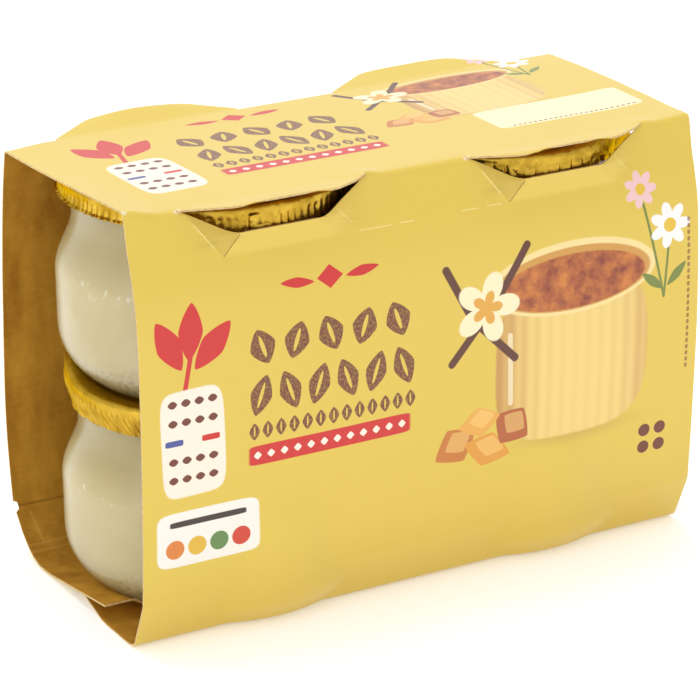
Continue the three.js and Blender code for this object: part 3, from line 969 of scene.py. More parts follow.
@dataclass(frozen=True)
class Custard:
    """Baked custard behind glass, and the film that it leaves on the glass above its level.

    Args:
        light: tone of the full body.
        shade: tone of its clouds, and of the painted shade on the lower jars.
        neck: tone of the painted shade on the film under the lid, and towards the foot.
        speck: tone of the fine vanilla specks.
        bubble: tone of the bubbles at the level.
        stand: height of a lower jar's base in millimetres.
        tier_step: height of an upper jar's base above it.
        cover: how closed the layer is, 1 for the custard itself.
        level: height of the custard above the jar's base.
    """

    light: Colour = linear(239, 225, 184)
    shade: Colour = linear(221, 204, 148)
    neck: Colour = linear(206, 188, 130)
    speck: Colour = linear(92, 78, 42)
    bubble: Colour = linear(250, 246, 226)
    stand: float = JAR_STAND
    tier_step: float = TIER_STEP
    cover: float = 1.0
    level: float = 29.0

    def material(self, kit: ShapeKit, name: str) -> Material:
        """Soft clouds, painted shade on the lower jars, by the neck and by the foot, tiny bubbles at the
        level and specks at the foot.

        Args:
            kit: the shared node groups.
            name: the material's name.

        Returns:
            The material.
        """
        material, make, shader = new_material(name)
        place = make.node("ShaderNodeTexCoord").outputs["Object"]
        z = make.split(make.vector("SCALE", place, 1.0 / MM))[2]
        upper = make.math("GREATER_THAN", z, self.stand + self.tier_step)
        base = make.math("MULTIPLY_ADD", upper, self.tier_step, self.stand)
        own = make.math("SUBTRACT", z, base)
        cloud = make.use(kit[Shape.MOTTLE], Point=place, Scale=55.0, Detail=4.0, Contrast=1.7)
        colour = make.blend(cloud, self.light, self.shade)
        # painted shade: the lower jars are darker than the upper ones
        colour = make.blend(make.math("MULTIPLY_ADD", upper, -0.45, 0.45), colour, self.shade)
        # painted shade darkening towards the neck under the lid
        colour = make.blend(make.remap(own, 25.0, 44.0, 0.0, 0.75), colour, self.neck)
        # painted shade darkening towards the foot
        colour = make.blend(make.remap(own, 2.0, 14.0, 0.3, 0.0), colour, self.neck)
        grain = make.noise(place, 1000.0, 2.0)
        foot = make.remap(own, 4.0, 13.0, 0.8, 0.0)
        dark = make.math("MULTIPLY", make.remap(grain, 0.53, 0.66, 0.0, 1.0), foot)
        colour = make.blend(dark, colour, self.speck)
        off_level = make.math("ABSOLUTE", make.math("SUBTRACT", own, self.level))
        level = make.remap(off_level, 0.0, 3.5, 0.8, 0.0)
        bubble = make.math("MULTIPLY", make.remap(make.noise(place, 520.0, 1.0), 0.64, 0.7, 0.0, 1.0), level)
        colour = make.blend(bubble, colour, self.bubble)
        make.put(shader.inputs["Base Color"], colour)
        for socket, value in (("Alpha", self.cover), ("Roughness", 0.6), ("Specular IOR Level", 0.2)):
            make.put(shader.inputs[socket], value)
        return material


@dataclass(frozen=True)
class GoldFoil:
    """Gold lacquered foil: bright metal with fine wrinkles.

    Args:
        bright: gold of its clouds.
        deep: deeper gold between them.
        edge: tint of grazing reflections.
        polish: lowest roughness.
        crumple: how deep its larger wrinkles are in metres.
    """

    bright: Colour = linear(210, 173, 66)
    deep: Colour = linear(172, 134, 36)
    edge: Colour = linear(240, 206, 110)
    polish: float = 0.25
    crumple: float = 0.0004

    def material(self, kit: ShapeKit, name: str) -> Material:
        """Two golds in soft clouds, uneven polish, and wrinkles of two sizes.

        Args:
            kit: the shared node groups.
            name: the material's name.

        Returns:
            The material.
        """
        material, make, shader = new_material(name)
        place = make.node("ShaderNodeTexCoord").outputs["Object"]
        cloud = make.use(kit[Shape.MOTTLE], Point=place, Scale=240.0, Detail=3.0, Contrast=2.0)
        make.put(shader.inputs["Base Color"], make.blend(cloud, self.bright, self.deep))
        make.put(shader.inputs["Roughness"], make.math("MULTIPLY_ADD", cloud, 0.12, self.polish))
        fine = make.noise(place, 420.0, 3.0, 0.55)
        fold = make.math("ABSOLUTE", make.math("SUBTRACT", make.noise(place, 130.0, 2.0), 0.5))
        wrinkle = make.math("MULTIPLY_ADD", fold, 3.0, make.math("MULTIPLY", fine, 0.5))
        make.put(shader.inputs["Normal"], make.bump(wrinkle, 0.4, self.crumple))
        make.put(shader.inputs["Specular Tint"], self.edge)
        make.put(shader.inputs["Metallic"], 1.0)
        return material


@dataclass(frozen=True)
class StudioFloor:
    """Plain pale floor.

    Args:
        tone: its colour.
        cloud: the colour of its faint clouds.
        glow: strength of its own light.
    """

    tone: Colour = (0.96, 0.96, 0.96)
    cloud: Colour = (0.97, 0.97, 0.97)
    glow: float = 0.26

    def material(self) -> Material:
        """One matte tone with a barely visible cloud.

        Returns:
            The material.
        """
        material, make, shader = new_material("studio_floor")
        place = make.node("ShaderNodeTexCoord").outputs["Object"]
        cloud = make.noise(place, 2.0, 2.0)
        make.put(shader.inputs["Base Color"], make.blend(cloud, self.tone, self.cloud))
        make.put(shader.inputs["Roughness"], 0.9)
        make.put(shader.inputs["Emission Color"], (1.0, 1.0, 1.0))
        make.put(shader.inputs["Emission Strength"], self.glow)
        return material


# ---------------------------------------------------------------- the sleeve


@dataclass(frozen=True)
class Cut:
    """Trapezoid cut from a fold, with rounded far corners.

    Args:
        half_width: half of its length along the fold.
        far_half_width: half of its length at the far edge, before the corners are rounded.
        depth: how far it reaches from the fold.
        corner: size of the far corners.
    """

    half_width: float = 25.0
    far_half_width: float = 12.5
    depth: float = 7.0
    corner: float = 3.0

    def rows(self, straight: int, round_steps: int) -> Array:
        """Rows of depth and half width: the leaning side, then the corner as a quadratic curve.

        Args:
            straight: rows on the side.
            round_steps: rows round the corner.

        Returns:
            The rows, from the fold.
        """
        lean = (self.half_width - self.far_half_width) / self.depth
        back = self.corner / math.hypot(1.0, lean)
        depth = np.linspace(0.0, self.depth - back, straight)
        side = np.stack([depth, self.half_width - lean * depth], axis=1)
        t = np.linspace(0.0, 1.0, round_steps + 1)[1:, None]
        start = np.array([self.depth - back, self.far_half_width + back * lean])
        knee = np.array([self.depth, self.far_half_width])
        end = np.array([self.depth, self.far_half_width - self.corner])
        return np.concatenate([side, start * (1 - t) ** 2 + 2 * knee * t * (1 - t) + end * t**2])


NO_DEPTH = -1.0
ON_TOP = -2.0


class Panel(Enum):
    """Faces of the sleeve by what is printed on them."""

    BARE = 0
    REAR = 1
    TOP = 2
    FRONT = 3


@dataclass(frozen=True)
class Section:
    """One wall of the sleeve seen from its open end, as half-depth and height.

    Args:
        foot: points of the lower chamfer, from the bottom fold up.
        wall: knots of the bowed wall, from the lower crease to the upper one.
        flat: half-depth at which the bottom starts to curl up into the fold.
        first: height at which the bottom fold's curve ends.
        top: the top fold.
    """

    foot: tuple
    wall: tuple
    flat: float
    first: float
    top: tuple[float, float] = (33.5, 109.6)

    def curve(self) -> Array:
        """Rows of half-depth and height: the chamfer, a Catmull-Rom curve through the wall, the top fold.

        Returns:
            The rows, from the bottom fold up.
        """
        knots = np.array(self.wall)
        knots = np.concatenate([knots[:1], knots, knots[-1:]])
        t = np.linspace(0.0, 1.0, 24, endpoint=False)[:, None]
        runs = []
        for p0, p1, p2, p3 in zip(knots, knots[1:], knots[2:], knots[3:]):
            v0, v1 = (p2 - p0) / 2, (p3 - p1) / 2
            cubic, square = 2 * p1 - 2 * p2 + v0 + v1, -3 * p1 + 3 * p2 - 2 * v0 - v1
            runs.append(cubic * t**3 + square * t**2 + v0 * t + p1)
        return np.concatenate([np.array(self.foot), *runs, knots[-1:], [self.top]])

    def chamfer(self) -> tuple[float, Array]:
        """Length of the upper chamfer, and its direction down from the top fold."""
        down = np.array(self.wall[-1]) - np.array(self.top)
        run = float(np.linalg.norm(down))
        return run, down / run


@dataclass
class Sleeve:
    """Carton sleeve: one sheet of board from the inner bottom flap round to the outer bottom flap.

    A section is a run of rows from the inner flap's free edge, up the rear, over the top, down the
    front and under. Columns run along the pack and lean in beside the windows, so that the windows'
    slanted edges are grid lines. The top has sagged at the rear and curls up at its open ends.
    """

    length: float = 156.0
    height: float = 109.6
    board: float = 0.5
    column_x: float = COLUMN_X
    lower_jars_x: tuple[float, float] = (LOWER_LEFT_X, COLUMN_X)
    jar_stand: float = JAR_STAND
    tier_step: float = TIER_STEP
    lower_crease: float = 12.3
    top_zone: tuple[float, float] = (101.0, 8.0)
    front: Section = Section(
        foot=((30.9, 0.5),),
        wall=((36.9, 13.3), (38.5, 35.0), (39.7, 60.0), (39.2, 86.0), (37.0, 97.6)),
        flat=27.0,
        first=2.1,
    )
    rear: Section = Section(
        foot=((28.6, 1.6), (30.9, 3.2), (34.1, 5.8), (37.3, 9.8)),
        wall=((39.7, 12.3), (41.1, 27.0), (41.5, 39.0), (41.1, 50.0), (40.2, 62.0), (39.0, 74.5),
              (37.4, 87.5), (35.9, 97.6)),
        flat=24.0,
        first=3.0,
    )
    heel_radius: float = 33.4
    heel_from: float = 1.0
    heel_slope: float = 0.86
    heel_to: float = 5.0
    press_clearance: float = 0.95
    upper_clearance: float = 0.6
    heel_corner: float = 10.0
    foot_corner: float = 14.6
    body_radius: float = 38.2
    shoulder: tuple[float, float, float] = (28.5, 42.5, 34.0)
    inner_flap_edge: float = -14.6
    outer_flap_edge: float = 24.0
    flap_rest: float = 0.56
    flap_lift: float = 4.2
    flap_from: float = 18.5
    lift_start: float = 60.0
    lift_run: float = 9.0
    end_slant: tuple[float, float] = (-13.3, 0.165)
    fold_round: float = 1.4
    crease_round: float = 0.9
    lid_press: float = 2.2
    facet_inner: tuple[float, float] = (11.5, 3.2)
    facet_outer: tuple[float, float] = (25.0, 8.8)
    notch: tuple[float, float] = (1.3, 2.8)
    sag: tuple[float, float] = (0.3, 0.25)
    curl_across: tuple[float, ...] = (-34.0, -25.0, -12.0, 3.7, 18.0, 34.0)
    left_curl: tuple[float, ...] = (2.2, 1.65, 0.95, 0.2, -0.3, -0.6)
    right_curl: tuple[float, ...] = (0.7, 0.35, 0.4, 0.4, 0.3, 0.0)
    lifts: tuple[tuple[float, float], ...] = ((-13.2, 1.0), (65.2, 0.8))
    bow_across: tuple[float, ...] = (-34.0, -29.0, -15.0, -1.0, 15.0, 34.0)
    bow: tuple[float, ...] = (0.4, 0.7, 1.2, 1.5, 1.5, 0.9)
    tab_tilt: float = math.radians(11.0)
    rear_springs: tuple[float, float] = (0.65, 0.0)
    rear_droops: tuple[float, float] = (0.0, 0.2)
    front_spring: float = 0.1
    front_droops: tuple[float, float, float] = (0.5, 0.2, 0.4)
    window: Cut = field(default_factory=Cut)
    tab: Cut = field(default_factory=lambda: Cut(depth=7.75))

    def __post_init__(self) -> None:
        """Works out the columns: their places along the pack and their offsets from the nearer window."""
        near = np.linspace(0.0, self.window.half_width, 19)
        far = np.linspace(self.window.half_width, self.column_x, 13)[1:]
        half = np.concatenate([near, far])
        across = np.concatenate([-half[:0:-1], half])
        self.straight = np.concatenate([across - self.column_x, across[1:] + self.column_x])
        self.centre = np.where(self.straight < 0, -self.column_x, self.column_x)
        self.offset = self.straight - self.centre

    def leaned(self, depth: float, half: float) -> Array:
        """x of each column at a depth below the fold, where the window is 2 half wide.

        Inside the window the columns close up in step, outside they spread, and below the window they
        come back to straight over the rest of the chamfer.

        Args:
            depth: distance below the fold.
            half: half width of the window there.

        Returns:
            The columns' x.
        """
        reach, full, edge = np.abs(self.offset), self.window.half_width, self.column_x
        within = reach * half / full
        beside = half + (reach - full) * (edge - half) / (edge - full)
        leaned = np.where(reach <= full, within, beside)
        back = smooth((depth - self.window.depth) / 4.0)
        return self.centre + np.sign(self.offset) * (leaned * (1 - back) + reach * back)

    def section(self, side: float) -> Section:
        """The rear's section for side 1, the front's for side -1."""
        return self.rear if side > 0 else self.front

    def plain_half_depth(self, z: Array, side: float) -> Array:
        """Half-depth of the outer face away from the jars, its creases rounded by a mean over heights.

        Args:
            z: heights.
            side: 1 for the rear, -1 for the front.

        Returns:
            The half-depths.
        """
        curve = self.section(side).curve()
        spread = np.linspace(-self.crease_round, self.crease_round, 7)
        return np.mean([np.interp(z + s, curve[:, 1], curve[:, 0]) for s in spread], axis=0)

    def jar_radius(self, z: Array) -> Array:
        """Radius of the board pressed round a lower jar: heel line, then foot corner, body and shoulder.

        Args:
            z: heights.

        Returns:
            The radii.
        """
        own = z - self.jar_stand
        start, end, neck = self.shoulder
        corner = self.body_radius - self.heel_corner
        foot = corner + np.sqrt(np.clip(self.heel_corner**2 - (self.heel_corner - own) ** 2, 0.0, None))
        body = self.body_radius + (neck - self.body_radius) * smooth((own - start) / (end - start))
        radius = np.where(own < self.heel_corner, foot, body) + self.press_clearance
        heel = self.heel_radius + (z - self.heel_from) * self.heel_slope
        return np.where(z < self.heel_to, np.maximum(radius, heel), radius)

    def upper_radius(self, z: Array) -> Array:
        """Radius of the board round an upper jar: its body between foot and shoulder, 0 elsewhere.

        Args:
            z: heights.

        Returns:
            The radii.
        """
        own = z - self.jar_stand - self.tier_step
        start, end, neck = self.shoulder
        body = self.body_radius + (neck - self.body_radius) * smooth((own - start) / (end - start))
        rise = smooth((own - 4.0) / (self.foot_corner - 4.0))
        return (body + self.upper_clearance) * rise

    def foot_underside(self, reach: Array) -> Array:
        """Height of a lower jar's underside at a distance from its axis, far up beside the jar.

        Args:
            reach: distances from the axis.

        Returns:
            The heights.
        """
        flat = self.body_radius - self.foot_corner
        away = np.clip(reach - flat, 0.0, self.foot_corner)
        corner = self.foot_corner - np.sqrt(self.foot_corner**2 - away**2)
        return self.jar_stand + corner + np.where(reach > self.body_radius, FAR, 0.0)

    def pressed(self, x: Array, radius: Array) -> Array:
        """Half-depth of a round of that radius about the nearer lower jar, 0 past it."""
        away = np.min([np.abs(x - jar) for jar in self.lower_jars_x], axis=0)
        return np.sqrt(np.clip(radius**2 - away**2, 0.0, None))

    def settled(self, x: Array, z: Array) -> Array:
        """Slight waves of the board between its creases: two slow products of sines.

        Args:
            x: places along the pack.
            z: heights.

        Returns:
            How far the board stands out.
        """
        low, high = self.lower_crease, self.front.wall[-1][1]
        free = smooth((z - low) / 12.0) * smooth((high - z) / 12.0)
        slow = 0.16 * np.sin(0.075 * x + 0.7) * np.sin(0.062 * z + 1.1)
        quick = 0.07 * np.sin(0.17 * x - 0.4) * np.sin(0.13 * z + 0.5)
        return free * (slow + quick)

    def lid_bulge(self, x: Array, depth: float, full: float) -> Array:
        """How far a lid presses the chamfer out: a flat facet under the window with a folded one each side.

        Args:
            x: places along the pack.
            depth: distance below the top fold.
            full: length of the chamfer.

        Returns:
            How far each place moves out.
        """
        reach = np.abs(x - self.centre)
        window = self.window.depth
        rise = depth / window if depth < window else max(0.0, (full - depth) / (full - window))
        inner = self.facet_inner[0] + self.facet_inner[1] * max(0.0, depth - window) / (full - window)
        outer = self.facet_outer[0] - self.facet_outer[1] * depth / full
        return self.lid_press * rise * np.clip((outer - reach) / (outer - inner), 0.0, 1.0)

    def wall(self, side: float, base: float) -> tuple[Array, Array]:
        """Rows of one wall from the bottom fold to the middle of the top fold.

        Args:
            side: 1 for the rear, -1 for the front.
            base: z of the bottom flap's outer face beside the fold.

        Returns:
            Places as (rows, columns, 3), and each row's depth below the fold, NO_DEPTH or ON_TOP.
        """
        x = self.straight
        rows, depths = [], []

        def add(px: Array, py: Array, pz: Array, depth: float = NO_DEPTH) -> None:
            """Adds one row."""
            rows.append(np.stack(np.broadcast_arrays(px, side * py, pz), axis=-1))
            depths.append(depth)

        section = self.section(side)
        fold_y, fold_z = section.foot[0]
        fold = soft_max(np.full_like(x, fold_y), self.pressed(x, np.float64(self.heel_radius)), 0.25)
        first = section.first
        above = self.half_depth(x, np.full_like(x, first), side)
        flat = section.flat
        under = np.array([fold - 2.0, base + (fold_z - base) * (fold - 2.0 - flat) / (fold - flat)])
        for t in (0.0, 0.25, 0.5, 0.75):
            share = ((1 - t) ** 2, 2 * t * (1 - t), t**2)
            add(x, share[0] * under[0] + share[1] * fold + share[2] * above,
                share[0] * under[1] + share[1] * fold_z + share[2] * first)
        low, high = self.lower_crease, section.wall[-1][1]
        reach, deep = self.notch
        heights = np.concatenate([
            np.arange(first, low - reach - 0.9, 1.4), low - 0.5 + reach * np.linspace(-1.0, 1.0, 7),
            [low + 1.6], np.linspace(low + 2.8, high - 2.2, 34), high + np.array([-1.2, -0.6, 0.0]),
        ])
        for z in heights:
            bite = deep * max(0.0, 1.0 - abs(z - low + 0.5) / reach) if side > 0 else 0.0
            ends = x - np.sign(x) * bite * (np.abs(x) > self.length / 2 - 0.01)
            add(ends, self.half_depth(x, np.full_like(x, z), side), z)
        run, slope = section.chamfer()
        top_fold = section.top[0]
        cut = self.window.rows(7, 6)
        narrow = cut[-1, 1]
        below = [(depth, narrow) for depth in np.linspace(run - 0.8, self.window.depth + 0.7, 7)]
        steps = [*below, *[tuple(row) for row in cut[::-1]]]
        steps = [step for step in steps if step[0] > self.fold_round]
        steps.append((self.fold_round, self.width_at(self.fold_round)))
        for depth, half in steps:
            px = self.leaned(depth, half)
            py = top_fold + slope[0] * depth + self.lid_bulge(px, depth, run)
            add(px, py, self.height + slope[1] * depth, depth)
        start = np.array([top_fold, self.height]) + slope * self.fold_round
        corner = np.array([top_fold, self.height])
        end = corner - np.array([self.fold_round, 0.0])
        for t in (0.25, 0.5, 0.75):
            point = start * (1 - t) ** 2 + 2 * corner * t * (1 - t) + end * t**2
            depth = max(0.0, self.fold_round * (1 - 2 * t))
            add(self.leaned(depth, self.width_at(depth)), *point, depth if t <= 0.5 else ON_TOP)
        return np.stack(rows), np.array(depths)

    def width_at(self, depth: float) -> float:
        """Half width of the window at a depth on its leaning side."""
        lean = (self.window.half_width - self.window.far_half_width) / self.window.depth
        return self.window.half_width - lean * depth

    def half_depth(self, x: Array, z: Array, side: float) -> Array:
        """Half-depth of the outer face: the plain wall or the pressed round, whichever is further out.

        Args:
            x: places along the pack.
            z: heights.
            side: 1 for the rear, -1 for the front.

        Returns:
            The half-depths.
        """
        plain = self.plain_half_depth(z, side) + self.settled(x, z)
        pressed = self.pressed(x, self.jar_radius(z))
        if side > 0:
            pressed = np.maximum(pressed, self.pressed(x, self.upper_radius(z)))
        return soft_max(plain, pressed, 0.25)

    def inner_flap(self, x: Array, y: Array) -> Array:
        """Height of the inner flap's lower face: a ramp by each end, held down by the jars' feet.

        Args:
            x: places along the pack.
            y: places across it.

        Returns:
            The heights.
        """
        lift = self.flap_lift * smooth((np.abs(x) - self.lift_start) / self.lift_run)
        ramp = np.clip((self.flap_from - y) / (self.flap_from - self.inner_flap_edge), 0.0, 1.0)
        under = np.min([self.foot_underside(np.hypot(x - jar, y)) for jar in self.lower_jars_x], axis=0)
        held = np.minimum(self.flap_rest + lift * ramp, under - self.board - 0.06)
        return np.maximum(held, self.flap_rest)

    def outer_flap_x(self, x: Array, y: Array) -> Array:
        """Columns of the outer flap, whose ends slant inwards towards its free edge.

        Args:
            x: places along the pack.
            y: places across it.

        Returns:
            The columns' x.
        """
        start, slope = self.end_slant
        slant = slope * np.clip(y - start, 0.0, None)
        reach = self.length / 2 - self.lift_start
        beyond = np.clip(np.abs(x) - self.lift_start, 0.0, None)
        return x - np.sign(x) * beyond * slant / reach

    def settle_top(self, places: Array) -> Array:
        """The places with the top's own set: a sag along the rear fold, ends curled up and small lifts.

        The curl of the open ends is given at points across the top, and so is the right end's bow.

        Args:
            places: rows of x, y, z.

        Returns:
            The rows moved.
        """
        x, y, z = places.T
        low, run = self.top_zone
        share = smooth((z - low) / run)
        right = smooth((x - 30.0) / 40.0)
        sag = (self.sag[1] * right - self.sag[0] * (1.0 - right)) * smooth((y + 20.0) / 53.0)
        curl = np.interp(y, self.curl_across, self.left_curl) * smooth((-67.0 - x) / 11.5)
        curl += np.interp(y, self.curl_across, self.right_curl) * smooth((x - 64.0) / 14.0)
        for place, amount in self.lifts:
            curl += amount * np.exp(-(((x - place) / 2.6) ** 2) - ((y + 33.5) / 4.0) ** 2)
        bow = np.interp(y, self.bow_across, self.bow)
        moved_x = x + share * bow * smooth((x - 62.0) / 16.0)
        return np.stack([moved_x, y, z + share * (sag + curl)], axis=1)

    def sheet(self) -> Surface:
        """The whole sheet, with its windows cut and its tabs joined on.

        Returns:
            The outer face as an open surface.
        """
        x = self.straight
        flap_y = np.linspace(self.inner_flap_edge, self.rear.flat, 17)[:, None]
        inner = np.stack(np.broadcast_arrays(x, flap_y, self.inner_flap(x, flap_y)), -1)
        rear, rear_depth = self.wall(1.0, self.flap_rest)
        front, front_depth = self.wall(-1.0, 0.0)
        ridge = self.front.top[0] - self.fold_round
        top_y = np.linspace(ridge, -ridge, 27)
        top = np.stack(np.broadcast_arrays(x, top_y[:, None], self.height), -1)
        under_y = np.linspace(-self.front.flat, self.outer_flap_edge, 15)[:, None]
        outer = np.stack(np.broadcast_arrays(self.outer_flap_x(x, under_y), under_y, 0.0), -1)
        grid = np.concatenate([inner, rear, top, front[::-1], outer])
        panel = np.concatenate([
            np.full(len(inner), Panel.BARE.value), np.full(len(rear), Panel.REAR.value),
            np.full(len(top), Panel.TOP.value), np.full(len(front), Panel.FRONT.value),
            np.full(len(outer), Panel.BARE.value),
        ])
        depth = np.concatenate([
            np.full(len(inner), NO_DEPTH), rear_depth, np.full(len(top), NO_DEPTH),
            front_depth[::-1], np.full(len(outer), NO_DEPTH),
        ])
        rows, columns = grid.shape[:2]
        ids = np.arange(rows * columns).reshape(rows, columns)
        quads = grid_quads(ids)[:, ::-1]
        row = np.repeat(np.arange(rows - 1), columns - 1)
        column = np.tile(np.arange(columns - 1), rows - 1)
        face_panel = self.face_panels(panel, depth)[row]
        near = np.abs(self.offset) <= self.window.half_width + 1e-6
        window_column = near[:-1] & near[1:]
        cut_row = self.cut_rows(depth, panel)
        keep = ~(cut_row[row] & window_column[column])
        places = [grid.reshape(-1, 3)]
        faces, panels = [quads[keep]], [face_panel[keep]]
        count = rows * columns
        first_top = len(inner) + len(rear)
        for side, top_row in ((1.0, first_top), (-1.0, first_top + len(top) - 1)):
            for window in (-self.column_x, self.column_x):
                inside = np.flatnonzero(near & (self.centre == window))
                tab, tab_places = self.tab_patch(side, inside, ids[top_row, inside], count)
                faces.append(tab if side < 0 else tab[:, ::-1])
                places.append(tab_places)
                panels.append(np.full(len(tab), Panel.TOP.value))
                count += len(tab_places)
        surface = Surface(np.concatenate(places), np.concatenate(faces))
        surface.print_place = self.print_places(surface, np.concatenate(panels))
        surface.places = self.settle_top(surface.places)
        return surface

    def face_panels(self, panel: Array, depth: Array) -> Array:
        """Panel of each band of faces between two rows: a band beside the top's half of a fold is top.

        Args:
            panel: panel of each row.
            depth: depth of each row.

        Returns:
            One panel for each band.
        """
        pair = np.maximum(panel[:-1], panel[1:])
        bare = (panel[:-1] == Panel.BARE.value) | (panel[1:] == Panel.BARE.value)
        top = (panel[:-1] == Panel.TOP.value) | (panel[1:] == Panel.TOP.value)
        top |= (depth[:-1] == ON_TOP) | (depth[1:] == ON_TOP)
        return np.where(bare, Panel.BARE.value, np.where(top, Panel.TOP.value, pair))

    def cut_rows(self, depth: Array, panel: Array) -> Array:
        """True for each band of faces that a window takes: from the top's last row to the window's depth.

        Args:
            depth: depth of each row.
            panel: panel of each row.

        Returns:
            One truth for each band.
        """
        level = np.where(depth == ON_TOP, 0.0, depth)
        walls = (panel == Panel.REAR.value) | (panel == Panel.FRONT.value)
        in_cut = walls & (level >= 0.0) & (level <= self.window.depth + 1e-6)
        edge = panel == Panel.TOP.value
        return (in_cut[:-1] & in_cut[1:]) | (in_cut[:-1] & edge[1:]) | (edge[:-1] & in_cut[1:])

    def tab_patch(self, side: float, inside: Array, root: Array, count: int) -> tuple[Array, Array]:
        """Tab over one window: the top's own columns carried past the fold and tilted up.

        Args:
            side: 1 for the rear, -1 for the front.
            inside: column numbers across the window.
            root: vertex numbers of the top's last row there.
            count: number of vertices so far.

        Returns:
            The tab's quads and its new places.
        """
        share = self.offset[inside] / self.window.half_width
        centre = self.centre[inside]
        if side > 0:
            left = centre < 0
            droop, spring = np.where(left, *self.rear_droops), np.where(left, *self.rear_springs)
        else:
            inner, more, outer = self.front_droops
            droop, spring = np.where(share < 0, inner + more * np.sign(centre), outer), self.front_spring
        spring = spring * (1.0 - share**2) - droop * np.abs(share) ** 4
        rows = []
        for depth, half in self.tab.rows(7, 6):
            out = self.front.top[0] + depth * math.cos(self.tab_tilt)
            up = self.height + depth * math.sin(self.tab_tilt) + spring * smooth(depth / self.tab.depth)
            rows.append(np.stack(np.broadcast_arrays(centre + share * half, side * out, up), axis=-1))
        ids = count + np.arange(len(rows) * len(inside)).reshape(len(rows), -1)
        return grid_quads(np.concatenate([root[None], ids]))[:, ::-1], np.stack(rows).reshape(-1, 3)

    def print_places(self, surface: Surface, panel: Array) -> Array:
        """Print coordinates of each face corner, in hundreds of millimetres.

        A wall has x along and z up, turned round on the rear so that it reads from behind. The top has
        x along and 200 + y up, and what is bare lies below 0.

        Args:
            surface: the sheet, before its top settles.
            panel: panel of each quad.

        Returns:
            Two coordinates for each corner of each quad.
        """
        corner = surface.places[surface.quads]
        x, y, z = corner[..., 0], corner[..., 1], corner[..., 2]
        kind = panel[:, None]
        along = np.where(kind == Panel.REAR.value, -x, x)
        up = np.where(kind == Panel.TOP.value, PrintedBoard.top_shift + y, z)
        bare = kind == Panel.BARE.value
        return np.stack([np.where(bare, BARE, value / PRINT_UNIT) for value in (along, up)], axis=-1)

    def build(self, kit: ShapeKit) -> bpy.types.Object:
        """Makes the printed sheet with its brown inside and pale cut edges.

        Args:
            kit: the shared node groups.

        Returns:
            The piece.
        """
        finishes = [PrintedBoard().material(kit), Kraft().material(kit), BoardEdge().material(kit)]
        surface = self.sheet().thickened(self.board, inside=1, rim=2)
        made = surface.build("carton_sleeve", finishes, sharp=38.0)
        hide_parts("sleeve")
        return made


# ---------------------------------------------------------------- the jars


